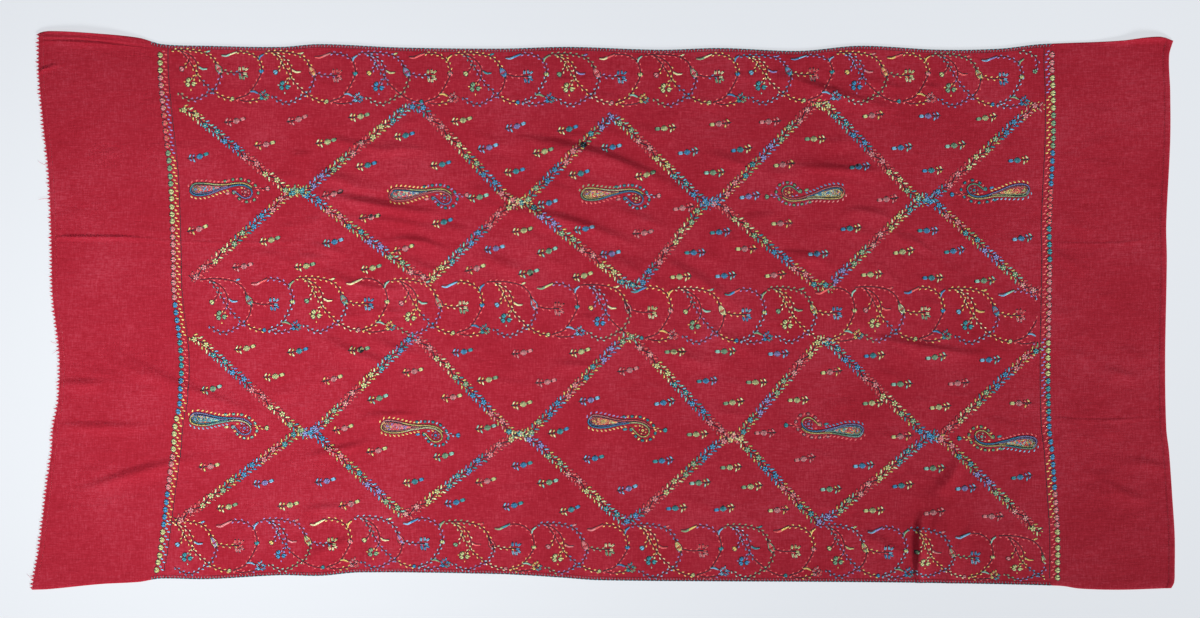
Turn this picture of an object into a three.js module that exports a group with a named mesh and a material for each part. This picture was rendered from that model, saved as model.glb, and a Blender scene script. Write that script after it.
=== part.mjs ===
// A long embroidered wool shawl, laid out flat and right side up.
// Millimetres. +X runs along the shawl, +Y across it and +Z up, and its underside rests on z = 0.
// The cloth is one thin wall through a grid of points that fills the laid outline.
// Its slack stands up in soft folds, and lies flat on z = 0 between them.
// The cut left end is frayed into short locks, the right end has a turned hem,
// and the two long edges are overcast with thread between the plain ends.
import * as THREE from 'three';

// Driving dimensions. The stitching draws the middle of the cut cloth in a little.
const CUT_LENGTH = 2030;
const CUT_WIDTH = 990;
const WALL = 1.5;
const SEAM = 0.3;
const LOCK_LENGTH = 6.5;
const LOCK_COUNT = 160;
const ROOT_STRIP_WIDTH = 8;
const EDGING_WIDTH = 3.5;
const EDGING_THREAD = 0.8;
const EDGING_FROM_X = -797;
const EDGING_TO_X = 799;
const HEM_WIDTH = 10;
const HEM_RISE = 0.8;
const HEM_STEP = 1.4;

// How finely the wall is divided
const COLUMNS = 82;
const ROWS = 33;

// The laid outline, corner to corner. The back edge is at +Y and the left end at -X.
const BACK_EDGE = [
  { x: -1003, y: 490 }, { x: -981, y: 495 }, { x: -889, y: 490 }, { x: -818, y: 483 },
  { x: -780, y: 472 }, { x: -700, y: 469 }, { x: -570, y: 467 }, { x: -499, y: 472 },
  { x: -357, y: 466 }, { x: -180, y: 464 }, { x: -60, y: 467 }, { x: 104, y: 462 },
  { x: 210, y: 465 }, { x: 350, y: 460 }, { x: 458, y: 469 }, { x: 600, y: 462 },
  { x: 706, y: 464 }, { x: 778, y: 472 }, { x: 919, y: 478 }, { x: 988, y: 485 },
  { x: 1013, y: 478 },
];
const FRONT_EDGE = [
  { x: -1016, y: -495 }, { x: -981, y: -494 }, { x: -889, y: -485 }, { x: -818, y: -481 },
  { x: -783, y: -475 }, { x: -700, y: -476 }, { x: -570, y: -469 }, { x: -499, y: -470 },
  { x: -428, y: -464 }, { x: -180, y: -467 }, { x: -74, y: -473 }, { x: 0, y: -478 },
  { x: 423, y: -481 }, { x: 600, y: -483 }, { x: 813, y: -488 }, { x: 848, y: -493 },
  { x: 919, y: -495 }, { x: 1010, y: -492 },
];
const LEFT_END = [
  { y: -495, x: -1016 }, { y: -464, x: -1011 }, { y: -421, x: -1003 }, { y: -315, x: -990 },
  { y: -251, x: -981 }, { y: -208, x: -978 }, { y: -160, x: -969 }, { y: -80, x: -967 },
  { y: 26, x: -979 }, { y: 111, x: -981 }, { y: 239, x: -986 }, { y: 324, x: -995 },
  { y: 409, x: -1003 }, { y: 451, x: -1004 }, { y: 490, x: -1003 },
];
const RIGHT_END = [
  { y: -492, x: 1010 }, { y: -482, x: 1015 }, { y: -460, x: 1016 }, { y: -400, x: 1016 },
  { y: -336, x: 1012 }, { y: -251, x: 1006 }, { y: -208, x: 1001 }, { y: -90, x: 999 },
  { y: 90, x: 1002 }, { y: 153, x: 1001 }, { y: 302, x: 1008 }, { y: 387, x: 1008 },
  { y: 451, x: 1006 }, { y: 478, x: 1013 },
];

// The folds that stand up in the cloth. A fold's crest runs from (x1, y1) to (x2, y2) and
// bends sideways by up to bend, to its right. It falls to the flat over the distance
// left on its left side and over the distance right on its right side.
const FOLD_COLUMNS = ['x1', 'y1', 'x2', 'y2', 'bend', 'height', 'left', 'right'];
const FOLDS = table(FOLD_COLUMNS, [
  // back middle
  [-184, 306, 182, 185, -27, 8, 24, 75],
  [-175, 182, 77, 107, -10, 7, 22, 60],
  [-12, 191, 134, 132, -5, 4, 20, 45],
  [-6, 102, 121, 29, -5, 5, 22, 50],
  [86, 100, 253, -10, -11, 6, 22, 60],
  [-56, 61, 42, 12, 3, 4, 20, 45],
  [77, -45, 207, -102, 6, 4, 20, 50],
  [-95, -95, 1, -100, 0, 3, 20, 40],
  [184, 281, 290, 242, 0, 4, 20, 40],
  // back left
  [-520, 214, -277, 168, 5, 8, 22, 55],
  [-529, 267, -382, 208, 10, 5, 20, 45],
  [-520, 315, -354, 279, 4, 4, 20, 40],
  [-460, 166, -277, 139, -4, 4, 18, 40],
  [-371, 127, -265, 93, -11, 5, 20, 45],
  [-520, 120, -449, 97, 0, 3, 20, 40],
  [-517, 86, -336, 40, 19, 5, 20, 45],
  [-354, 93, -260, 51, -1, 4, 20, 40],
  [-442, 4, -336, -10, 0, 3, 20, 40],
  [-506, -35, -361, -98, 11, 6, 22, 55],
  [-421, -36, -315, -79, 9, 4, 20, 40],
  // back right
  [302, 426, 529, 354, 6, 6, 22, 60],
  [309, 258, 512, 244, 2, 6, 22, 60],
  [426, 176, 529, 152, -9, 4, 20, 45],
  [309, 100, 423, 68, -12, 4, 20, 45],
  [609, 98, 786, -120, 4, 5, 24, 60],
  [449, -40, 698, -84, 4, 5, 22, 60],
  [788, 111, 859, 65, 0, 3, 20, 40],
  // left end
  [-972, -129, -868, -132, 0, 4, 20, 40],
  [-978, -205, -792, -208, 0, 4, 22, 45],
  [-935, -325, -705, -260, -5, 5, 24, 55],
  [-871, -70, -591, -189, 9, 5, 22, 55],
  [-868, -91, -762, -137, 0, 3, 20, 40],
  // front left
  [-531, -437, -418, -384, 8, 5, 20, 45],
  [-403, -467, -419, -421, 0, 3, 18, 35],
  [-228, -473, -240, -425, 0, 3, 18, 35],
  [-535, -265, -396, -231, 0, 4, 20, 50],
  [-428, -187, -325, -185, 0, 3, 20, 40],
  [-538, -355, -442, -347, 0, 3, 20, 45],
  // front right
  [538, -500, 547, -315, -5, 11, 22, 62],
  [629, -500, 591, -301, 5, 6, 20, 60],
  [462, -386, 543, -435, 5, 5, 20, 40],
  [877, -293, 972, -341, 6, 4, 20, 45],
  [933, -262, 1008, -283, 0, 3, 18, 40],
  [884, -102, 955, -123, 0, 3, 18, 40],
  // the tuck along the back left edge and the lifted corner at the back right
  [-1020, 494, -790, 474, -7, 6, 16, 22],
  [870, 478, 1040, 482, -2, 6, 16, 22],
]);

// Colours, as plain sRGB
const CLOTH_RED = 0xaf3047;
const FRINGE_RED = 0xa83a4a;
const EDGING_TEAL = 0x4a7f86;

function table(columns, rows) {
  return rows.map((row) => Object.fromEntries(columns.map((name, i) => [name, row[i]])));
}

const { lerp } = THREE.MathUtils;

// The value of one named column at a place on another: a smooth curve through the table's rows
function along(rows, from, to, place) {
  let i = 0;
  while (i < rows.length - 2 && place > rows[i + 1][from]) i += 1;
  const slope = (k) => {
    const before = rows[Math.max(k - 1, 0)];
    const after = rows[Math.min(k + 1, rows.length - 1)];
    return (after[to] - before[to]) / (after[from] - before[from]);
  };
  const span = rows[i + 1][from] - rows[i][from];
  const t = (place - rows[i][from]) / span;
  const start = (1 + 2 * t) * (1 - t) ** 2 * rows[i][to] + t * (1 - t) ** 2 * span * slope(i);
  const end = t * t * (3 - 2 * t) * rows[i + 1][to] + t * t * (t - 1) * span * slope(i + 1);
  return start + end;
}

function edgePoint(rows, runsAlong, t) {
  const place = lerp(rows[0][runsAlong], rows[rows.length - 1][runsAlong], t);
  const other = runsAlong === 'x' ? 'y' : 'x';
  const value = along(rows, runsAlong, other, place);
  return runsAlong === 'x' ? new THREE.Vector2(place, value) : new THREE.Vector2(value, place);
}

// A point of the laid outline's inside: s runs from the left end to the right, t from front to back
function laidPoint(s, t) {
  const front = edgePoint(FRONT_EDGE, 'x', s);
  const back = edgePoint(BACK_EDGE, 'x', s);
  const left = edgePoint(LEFT_END, 'y', t);
  const right = edgePoint(RIGHT_END, 'y', t);
  const between = (name) => {
    const corners = lerp(
      lerp(edgePoint(FRONT_EDGE, 'x', 0)[name], edgePoint(FRONT_EDGE, 'x', 1)[name], s),
      lerp(edgePoint(BACK_EDGE, 'x', 0)[name], edgePoint(BACK_EDGE, 'x', 1)[name], s),
      t,
    );
    return lerp(front[name], back[name], t) + lerp(left[name], right[name], s) - corners;
  };
  return new THREE.Vector2(between('x'), between('y'));
}

// How high one fold holds the cloth above the flat. It is rounded across and fades at both ends.
const END_FADE = 0.8;

function foldHeight(fold, x, y) {
  const length = Math.hypot(fold.x2 - fold.x1, fold.y2 - fold.y1);
  const dx = (fold.x2 - fold.x1) / length;
  const dy = (fold.y2 - fold.y1) / length;
  const way = ((x - fold.x1) * dx + (y - fold.y1) * dy) / length;
  if (way <= 0 || way >= 1) return 0;
  const aside = (x - fold.x1) * dy - (y - fold.y1) * dx - 4 * fold.bend * way * (1 - way);
  const reach = aside < 0 ? fold.left : fold.right;
  const across = Math.abs(aside) / reach;
  if (across >= 1) return 0;
  const section = Math.cos(across * Math.PI / 2) ** 2;
  return fold.height * section * Math.sin(way * Math.PI) ** END_FADE;
}

function lift(x, y) {
  return FOLDS.reduce((sum, fold) => sum + foldHeight(fold, x, y), 0);
}

// A closed mesh that is put together from points and faces, its faces wound to point out
class Skin {
  constructor() {
    this.points = [];
    this.faces = [];
  }

  point(x, y, z) {
    this.points.push(x, y, z);
    return this.points.length / 3 - 1;
  }

  quad(a, b, c, d) {
    this.faces.push(a, b, c, a, c, d);
  }

  mesh(name, color, roughness) {
    const geometry = new THREE.BufferGeometry();
    geometry.setAttribute('position', new THREE.Float32BufferAttribute(this.points, 3));
    geometry.setIndex(this.faces);
    geometry.computeVertexNormals();
    const material = new THREE.MeshStandardMaterial({ color, roughness, metalness: 0 });
    const mesh = new THREE.Mesh(geometry, material);
    mesh.name = name;
    return mesh;
  }
}

// The cloth's plan: columns of points from the left end to the right, each from front to back.
// The long edges leave room for the thread that goes round them, and the left end for its fringe.
const EDGE_ROOM = EDGING_THREAD + SEAM;
const LEFT_ROOM = LOCK_LENGTH + ROOT_STRIP_WIDTH + SEAM;
const HEM_START = 1 - HEM_WIDTH / CUT_LENGTH;

function columnPlaces() {
  const first = LEFT_ROOM / CUT_LENGTH;
  const hemFoot = HEM_START - HEM_STEP / CUT_LENGTH;
  const places = Array.from({ length: COLUMNS }, (_, i) => lerp(first, hemFoot, i / (COLUMNS - 1)));
  return [...places, HEM_START, 1];
}

// The rows next to the long edges are as far in as the edging reaches
function rowPlaces() {
  const first = EDGE_ROOM / CUT_WIDTH;
  const covered = EDGING_WIDTH / CUT_WIDTH;
  const places = Array.from({ length: ROWS - 1 }, (_, j) => lerp(covered, 1 - covered, j / (ROWS - 2)));
  return [first, ...places, 1 - first];
}

const ROW_PLACES = rowPlaces();

function clothPlan() {
  return columnPlaces().map((s) => ROW_PLACES.map((t) => {
    const { x, y } = laidPoint(s, t);
    const under = lift(x, y);
    const hem = s >= HEM_START ? HEM_RISE : 0;
    return { x, y, under, top: under + WALL + hem };
  }));
}

function clothMesh(plan) {
  const skin = new Skin();
  const upper = plan.map((column) => column.map((p) => skin.point(p.x, p.y, p.top)));
  const lower = plan.map((column) => column.map((p) => skin.point(p.x, p.y, p.under)));
  const last = plan.length - 1;
  for (let i = 0; i < last; i += 1) {
    for (let j = 0; j < ROWS; j += 1) {
      skin.quad(upper[i][j], upper[i + 1][j], upper[i + 1][j + 1], upper[i][j + 1]);
      skin.quad(lower[i][j], lower[i][j + 1], lower[i + 1][j + 1], lower[i + 1][j]);
    }
    skin.quad(lower[i][0], lower[i + 1][0], upper[i + 1][0], upper[i][0]);
    skin.quad(lower[i + 1][ROWS], lower[i][ROWS], upper[i][ROWS], upper[i + 1][ROWS]);
  }
  for (let j = 0; j < ROWS; j += 1) {
    skin.quad(lower[0][j + 1], lower[0][j], upper[0][j], upper[0][j + 1]);
    skin.quad(lower[last][j], lower[last][j + 1], upper[last][j + 1], upper[last][j]);
  }
  return skin.mesh('cloth', CLOTH_RED, 0.85);
}

// A point at a distance outward from the wall's edge point, in line with the next point inside
function outward(edge, inside, distance) {
  const share = distance / Math.hypot(edge.x - inside.x, edge.y - inside.y);
  return { x: edge.x + (edge.x - inside.x) * share, y: edge.y + (edge.y - inside.y) * share };
}

// The overcast edging: a narrow band of thread that covers the cloth's edge, side and top.
// Its section is an L, made from the wall's own points and moved out by the seam's gap.
function edgingMesh(name, edge, insides) {
  const skin = new Skin();
  const rings = edge.map((point, i) => {
    const inside = insides[i];
    const outer = outward(point, inside, EDGE_ROOM);
    const side = outward(point, inside, SEAM);
    return [
      skin.point(outer.x, outer.y, point.under),
      skin.point(outer.x, outer.y, point.top + SEAM + EDGING_THREAD),
      skin.point(inside.x, inside.y, inside.top + SEAM + EDGING_THREAD),
      skin.point(inside.x, inside.y, inside.top + SEAM),
      skin.point(side.x, side.y, point.top + SEAM),
      skin.point(side.x, side.y, point.under),
    ];
  });
  const corners = rings[0].length;
  for (let i = 0; i < rings.length - 1; i += 1) {
    for (let k = 0; k < corners; k += 1) {
      const next = (k + 1) % corners;
      skin.quad(rings[i][k], rings[i + 1][k], rings[i + 1][next], rings[i][next]);
    }
  }
  const [first, end] = [rings[0], rings[rings.length - 1]];
  skin.quad(first[0], first[1], first[4], first[5]);
  skin.quad(first[1], first[2], first[3], first[4]);
  skin.quad(end[5], end[4], end[1], end[0]);
  skin.quad(end[4], end[3], end[2], end[1]);
  return skin.mesh(name, EDGING_TEAL, 0.7);
}

// The wall's edge points between the two ends of the edging, in the order given
function edgingRun(plan, edgeRow, insideRow) {
  const columns = plan.filter((column) => {
    const { x } = column[edgeRow];
    return x > EDGING_FROM_X && x < EDGING_TO_X;
  });
  return [columns.map((column) => column[edgeRow]), columns.map((column) => column[insideRow])];
}

// A place on the wall's left end, t from front to back, moved out by a distance
function leftEndPoint(plan, t, distance) {
  const place = lerp(ROW_PLACES[0], ROW_PLACES[ROWS], t);
  const row = Math.max(ROW_PLACES.findIndex((next) => next >= place) - 1, 0);
  const share = (place - ROW_PLACES[row]) / (ROW_PLACES[row + 1] - ROW_PLACES[row]);
  const [near, far] = [row, row + 1].map((j) => {
    const edge = plan[0][j];
    return { ...outward(edge, plan[1][j], distance), under: edge.under, top: edge.top };
  });
  const from = (name) => lerp(near[name], far[name], share);
  return { x: from('x'), y: from('y'), under: from('under'), top: from('top') };
}

// The frayed end: a narrow woven strip outside the wall, with a row of tapered four-sided locks
// that grow from its outer face. Their tips end just above the floor and lean a little to and fro.
const LOCK_ROOT_SHARE = 0.34;
const LOCK_TIP_WIDTH = 0.8;
const LOCK_TIP_UNDER = 0.5;
const LOCK_TIP_TOP = 1.2;
const LOCK_LEAN = 1.3;
const LOCK_UNEVENNESS = 0.14;

function fringeMesh(plan) {
  const skin = new Skin();
  const stations = [];
  const addStation = (t) => {
    const inner = leftEndPoint(plan, t, SEAM);
    const outer = leftEndPoint(plan, t, SEAM + ROOT_STRIP_WIDTH);
    stations.push({
      t,
      innerLow: skin.point(inner.x, inner.y, inner.under),
      innerTop: skin.point(inner.x, inner.y, inner.top),
      outerLow: skin.point(outer.x, outer.y, outer.under),
      outerTop: skin.point(outer.x, outer.y, outer.top),
    });
  };
  addStation(0);
  for (let k = 0; k < LOCK_COUNT; k += 1) {
    addStation((k + 0.5 - LOCK_ROOT_SHARE / 2) / LOCK_COUNT);
    addStation((k + 0.5 + LOCK_ROOT_SHARE / 2) / LOCK_COUNT);
  }
  addStation(1);

  stations.slice(1).forEach((b, i) => {
    const a = stations[i];
    skin.quad(a.outerTop, a.innerTop, b.innerTop, b.outerTop);
    skin.quad(a.outerLow, b.outerLow, b.innerLow, a.innerLow);
    skin.quad(a.innerLow, b.innerLow, b.innerTop, a.innerTop);
    const isRoot = i % 2 === 1;
    if (isRoot) addLock(skin, plan, a, b, (i - 1) / 2);
    else skin.quad(a.outerLow, a.outerTop, b.outerTop, b.outerLow);
  });
  const [first, end] = [stations[0], stations[stations.length - 1]];
  skin.quad(first.innerLow, first.innerTop, first.outerTop, first.outerLow);
  skin.quad(end.outerLow, end.outerTop, end.innerTop, end.innerLow);
  return skin.mesh('fringe_left', FRINGE_RED, 0.9);
}

function addLock(skin, plan, a, b, number) {
  const reach = LOCK_LENGTH * (1 - LOCK_UNEVENNESS * (1 - Math.sin(number * 2.3)));
  const middle = leftEndPoint(plan, (a.t + b.t) / 2, SEAM + ROOT_STRIP_WIDTH + reach);
  const lean = LOCK_LEAN * Math.sin(number * 1.7 + Math.sin(number * 0.9));
  const [yLow, yHigh] = [middle.y + lean - LOCK_TIP_WIDTH / 2, middle.y + lean + LOCK_TIP_WIDTH / 2];
  const tip = {
    aLow: skin.point(middle.x, yLow, middle.under + LOCK_TIP_UNDER),
    aTop: skin.point(middle.x, yLow, middle.under + LOCK_TIP_TOP),
    bLow: skin.point(middle.x, yHigh, middle.under + LOCK_TIP_UNDER),
    bTop: skin.point(middle.x, yHigh, middle.under + LOCK_TIP_TOP),
  };
  skin.quad(a.outerTop, b.outerTop, tip.bTop, tip.aTop);
  skin.quad(a.outerLow, tip.aLow, tip.bLow, b.outerLow);
  skin.quad(a.outerLow, a.outerTop, tip.aTop, tip.aLow);
  skin.quad(b.outerLow, tip.bLow, tip.bTop, b.outerTop);
  skin.quad(tip.aLow, tip.aTop, tip.bTop, tip.bLow);
}

const plan = clothPlan();
const [frontEdge, frontInsides] = edgingRun(plan, 0, 1);
const [backEdge, backInsides] = edgingRun(plan, ROWS, ROWS - 1);

const shawl = new THREE.Group();
shawl.add(clothMesh(plan));
shawl.add(fringeMesh(plan));
shawl.add(edgingMesh('edging_front', frontEdge, frontInsides));
shawl.add(edgingMesh('edging_back', backEdge.reverse(), backInsides.reverse()));

export default shawl;
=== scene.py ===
"""The looks of a long wool shawl with fine hand embroidery, laid flat and seen from straight above.

Lengths and places are in millimetres in the part's own frame, +X along the shawl and +Y across it.
They turn into metres as each mesh is made.
"""

import math
import random

import bpy
import numpy as np
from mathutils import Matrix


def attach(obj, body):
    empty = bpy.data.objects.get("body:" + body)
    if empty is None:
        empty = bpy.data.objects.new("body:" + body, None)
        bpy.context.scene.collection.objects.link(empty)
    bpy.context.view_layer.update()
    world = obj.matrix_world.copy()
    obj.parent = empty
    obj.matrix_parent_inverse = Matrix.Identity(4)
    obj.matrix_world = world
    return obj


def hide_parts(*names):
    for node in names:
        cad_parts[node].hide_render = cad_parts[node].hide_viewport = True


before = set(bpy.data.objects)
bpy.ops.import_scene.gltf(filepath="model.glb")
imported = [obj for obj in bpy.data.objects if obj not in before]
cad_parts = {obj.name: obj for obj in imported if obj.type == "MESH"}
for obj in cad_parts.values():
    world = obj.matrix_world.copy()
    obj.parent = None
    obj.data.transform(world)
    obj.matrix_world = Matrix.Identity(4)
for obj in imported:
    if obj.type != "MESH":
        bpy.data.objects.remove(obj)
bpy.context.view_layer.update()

MM = 0.001
BODY = "root"

# ---------------------------------------------------------------------------------------------
# The cloth as laid: the solids' own outline and folds, with finer ones between them

CUT_LENGTH = 2030
CUT_WIDTH = 990
WALL = 1.5
LOCK_LENGTH = 6.5
ROOT_STRIP_WIDTH = 8
EDGING_FROM_X = -797
EDGING_TO_X = 799
HEM_WIDTH = 10
HEM_RISE = 0.8

# The folds' reaches and heights as shares of the solid's: crisper, as thin wool lies
STEEP_SHARE = 0.55
GENTLE_SHARE = 0.56
HEIGHT_SHARE = 0.9

# The laid outline, corner to corner: (x, y) along the long edges and (y, x) up the two ends.
# The points were picked from a scratch script's measurement of the photograph's edges.
BACK_EDGE = [
    (-1003, 490), (-981, 495), (-889, 490), (-818, 483), (-780, 472), (-700, 469), (-570, 467),
    (-499, 472), (-357, 466), (-180, 464), (-60, 467), (104, 462), (210, 465), (350, 460),
    (458, 469), (600, 462), (706, 464), (778, 472), (919, 478), (988, 485), (1013, 478),
]
FRONT_EDGE = [
    (-1016, -495), (-981, -494), (-889, -485), (-818, -481), (-783, -475), (-700, -476),
    (-570, -469), (-499, -470), (-428, -464), (-180, -467), (-74, -473), (0, -478),
    (423, -481), (600, -483), (813, -488), (848, -493), (919, -495), (1010, -492),
]
LEFT_END = [
    (-495, -1016), (-464, -1011), (-421, -1003), (-315, -990), (-251, -981), (-208, -978),
    (-160, -969), (-80, -967), (26, -979), (111, -981), (239, -986), (324, -995),
    (409, -1003), (451, -1004), (490, -1003),
]
RIGHT_END = [
    (-492, 1010), (-482, 1015), (-460, 1016), (-400, 1016), (-336, 1012), (-251, 1006),
    (-208, 1001), (-90, 999), (90, 1002), (153, 1001), (302, 1008), (387, 1008),
    (451, 1006), (478, 1013),
]

# Each fold's crest runs from (x1, y1) to (x2, y2) and bends to its right by up to bend.
# Columns: x1, y1, x2, y2, bend, height, reach on the left side, reach on the right side.
# The crests were read by eye from the photograph, and a scratch script worked out their ends and bends.
# They are the solid's own rows, but for the front right and the first row at the front left.
FOLDS = [
    # back middle
    (-184, 306, 182, 185, -27, 8, 24, 75),
    (-175, 182, 77, 107, -10, 7, 22, 60),
    (-12, 191, 134, 132, -5, 4, 20, 45),
    (-6, 102, 121, 29, -5, 5, 22, 50),
    (86, 100, 253, -10, -11, 6, 22, 60),
    (-56, 61, 42, 12, 3, 4, 20, 45),
    (77, -45, 207, -102, 6, 4, 20, 50),
    (-95, -95, 1, -100, 0, 3, 20, 40),
    (184, 281, 290, 242, 0, 4, 20, 40),
    # back left
    (-520, 214, -277, 168, 5, 8, 22, 55),
    (-529, 267, -382, 208, 10, 5, 20, 45),
    (-520, 315, -354, 279, 4, 4, 20, 40),
    (-460, 166, -277, 139, -4, 4, 18, 40),
    (-371, 127, -265, 93, -11, 5, 20, 45),
    (-520, 120, -449, 97, 0, 3, 20, 40),
    (-517, 86, -336, 40, 19, 5, 20, 45),
    (-354, 93, -260, 51, -1, 4, 20, 40),
    (-442, 4, -336, -10, 0, 3, 20, 40),
    (-506, -35, -361, -98, 11, 6, 22, 55),
    (-421, -36, -315, -79, 9, 4, 20, 40),
    # back right
    (302, 426, 529, 354, 6, 6, 22, 60),
    (309, 258, 512, 244, 2, 6, 22, 60),
    (426, 176, 529, 152, -9, 4, 20, 45),
    (309, 100, 423, 68, -12, 4, 20, 45),
    (609, 98, 786, -120, 4, 5, 24, 60),
    (449, -40, 698, -84, 4, 5, 22, 60),
    (788, 111, 859, 65, 0, 3, 20, 40),
    # left end
    (-972, -129, -868, -132, 0, 4, 20, 40),
    (-978, -205, -792, -208, 0, 4, 22, 45),
    (-935, -325, -705, -260, -5, 5, 24, 55),
    (-871, -70, -591, -189, 9, 5, 22, 55),
    (-868, -91, -762, -137, 0, 3, 20, 40),
    # front left
    (-531, -437, -418, -384, 8, 3, 20, 45),
    (-403, -467, -419, -421, 0, 3, 18, 35),
    (-228, -473, -240, -425, 0, 3, 18, 35),
    (-535, -265, -396, -231, 0, 4, 20, 50),
    (-428, -187, -325, -185, 0, 3, 20, 40),
    (-538, -355, -442, -347, 0, 3, 20, 45),
    # front right
    (565, -503, 569, -352, -4, 11, 21, 50),
    (629, -500, 591, -301, 5, 5, 76, 76),
    (590, -330, 640, -250, 8, 4, 40, 50),
    (462, -386, 543, -435, 5, 5, 20, 40),
    (877, -293, 972, -341, 6, 4, 20, 45),
    (933, -262, 1008, -283, 0, 3, 18, 40),
    (884, -102, 955, -123, 0, 3, 18, 40),
    # the tuck along the back left edge and the lifted corner at the back right
    (-1020, 494, -790, 474, -7, 6, 16, 22),
    (870, 478, 1040, 482, -2, 6, 16, 22),
]

# Small sharp creases, in the same columns: the lips of the tuck, and the marks of an old folding
CREASES = [
    (-1040, 482, -790, 467, -6, 3.2, 10, 2.6),
    (-1040, 477, -790, 462, -6, 2.6, 2.6, 14),
    (-1016, 417, -955, 441, 0, 2.4, 3, 10),
    (-205, -316, -97, -318, 0, 0.9, 6, 14),
    (-187, -425, -187, -318, 0, 0.9, 6, 14),
]
# Press lines run straight along the cloth: (share across, share along from, to, height)
PRESS_LINES = [
    (0.632, 0.0, 0.085, 1.5), (0.632, 0.0, 0.235, 0.6), (0.31, 0.895, 0.985, 0.7), (0.632, 0.892, 0.99, 0.6),
]
PRESS_REACH = (3.0, 9.0)
END_FADE = 1.15

# Shallow puckers that the stitching pulls into the cloth, strewn over areas of one slant.
# Columns: x, y, reach along, reach across, slant in degrees, count, height
PUCKER_AREAS = [
    (-420, 215, 170, 130, -9, 22, 2.4),
    (-40, 200, 190, 120, -22, 26, 2.6),
    (-180, 70, 130, 80, -34, 18, 2.4),
    (150, 40, 170, 110, -38, 28, 2.7),
    (420, 190, 170, 120, -8, 16, 2.0),
    (640, 20, 190, 120, -30, 20, 2.2),
    (780, 60, 90, 150, -42, 12, 2.0),
    (-400, -120, 190, 130, -6, 14, 1.5),
    (-80, -170, 220, 130, -14, 15, 1.4),
    (330, -180, 200, 130, -20, 14, 1.5),
    (700, -200, 170, 140, -24, 13, 1.6),
    (-820, -170, 120, 150, -8, 9, 1.3),
    (-820, 230, 120, 180, 3, 7, 1.0),
    (900, -150, 80, 200, -26, 11, 1.5),
    (900, 250, 80, 150, -12, 7, 1.1),
    (-500, 400, 260, 50, -12, 12, 1.4),
    (300, 400, 380, 50, -8, 16, 1.4),
    (-400, -420, 260, 45, 68, 9, 1.2),
    (-80, -425, 200, 40, 82, 8, 1.2),
    (640, -410, 110, 70, 72, 8, 1.8),
    (300, -400, 200, 60, -12, 8, 1.2),
]
PUCKER_SEED = 11


def puckers():
    """The small puckers as rows of folds, strewn over their areas."""
    rng = random.Random(PUCKER_SEED)
    rows = []
    for middle_x, middle_y, reach_x, reach_y, slant, count, height in PUCKER_AREAS:
        for _ in range(count):
            x, y = middle_x + rng.uniform(-1, 1) * reach_x, middle_y + rng.uniform(-1, 1) * reach_y
            length = rng.uniform(35, 120)
            way = math.radians(slant + rng.gauss(0, 6))
            dx, dy = math.cos(way) * length / 2, math.sin(way) * length / 2
            left, right = rng.uniform(8, 12), rng.uniform(16, 28)
            bend = rng.uniform(-5, 5)
            rows.append((x - dx, y - dy, x + dx, y + dy, bend, height * rng.uniform(0.35, 1), left, right))
    return rows


def through(rows, places):
    """A smooth curve through (place, value) rows, read at many places."""
    at = np.array([row[0] for row in rows], float)
    value = np.array([row[1] for row in rows], float)
    slope = np.empty(len(rows))
    slope[1:-1] = (value[2:] - value[:-2]) / (at[2:] - at[:-2])
    slope[0] = (value[1] - value[0]) / (at[1] - at[0])
    slope[-1] = (value[-1] - value[-2]) / (at[-1] - at[-2])
    i = np.clip(np.searchsorted(at, places) - 1, 0, len(rows) - 2)
    span = at[i + 1] - at[i]
    t = (places - at[i]) / span
    start = (1 + 2 * t) * (1 - t) ** 2 * value[i] + t * (1 - t) ** 2 * span * slope[i]
    end = t * t * (3 - 2 * t) * value[i + 1] + t * t * (t - 1) * span * slope[i + 1]
    return start + end


def laid(s, t):
    """Where a share along (s, left to right) and across (t, front to back) lies, as x and y."""
    s, t = np.asarray(s, float), np.asarray(t, float)
    front_x = FRONT_EDGE[0][0] + s * (FRONT_EDGE[-1][0] - FRONT_EDGE[0][0])
    back_x = BACK_EDGE[0][0] + s * (BACK_EDGE[-1][0] - BACK_EDGE[0][0])
    left_y = LEFT_END[0][0] + t * (LEFT_END[-1][0] - LEFT_END[0][0])
    right_y = RIGHT_END[0][0] + t * (RIGHT_END[-1][0] - RIGHT_END[0][0])
    front_y, back_y = through(FRONT_EDGE, front_x), through(BACK_EDGE, back_x)
    left_x, right_x = through(LEFT_END, left_y), through(RIGHT_END, right_y)

    def blend(front, back, left, right, corners):
        low = corners[0] + s * (corners[1] - corners[0])
        high = corners[2] + s * (corners[3] - corners[2])
        across = front + t * (back - front)
        along = left + s * (right - left)
        return across + along - (low + t * (high - low))

    corner_x = (FRONT_EDGE[0][0], FRONT_EDGE[-1][0], BACK_EDGE[0][0], BACK_EDGE[-1][0])
    corner_y = (FRONT_EDGE[0][1], FRONT_EDGE[-1][1], BACK_EDGE[0][1], BACK_EDGE[-1][1])
    x = blend(front_x, back_x, left_x, right_x, corner_x)
    y = blend(front_y, back_y, left_y, right_y, corner_y)
    return x, y


def unlaid(x, y):
    """The shares along and across of many places on the cloth: the inverse of laid."""
    s = (x + CUT_LENGTH / 2) / CUT_LENGTH
    t = (y + CUT_WIDTH / 2) / CUT_WIDTH
    for _ in range(5):
        near_x, near_y = laid(s, t)
        s = np.clip(s + (x - near_x) / CUT_LENGTH, 0, 1)
        t = np.clip(t + (y - near_y) / CUT_WIDTH, 0, 1)
    return s, t


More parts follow.
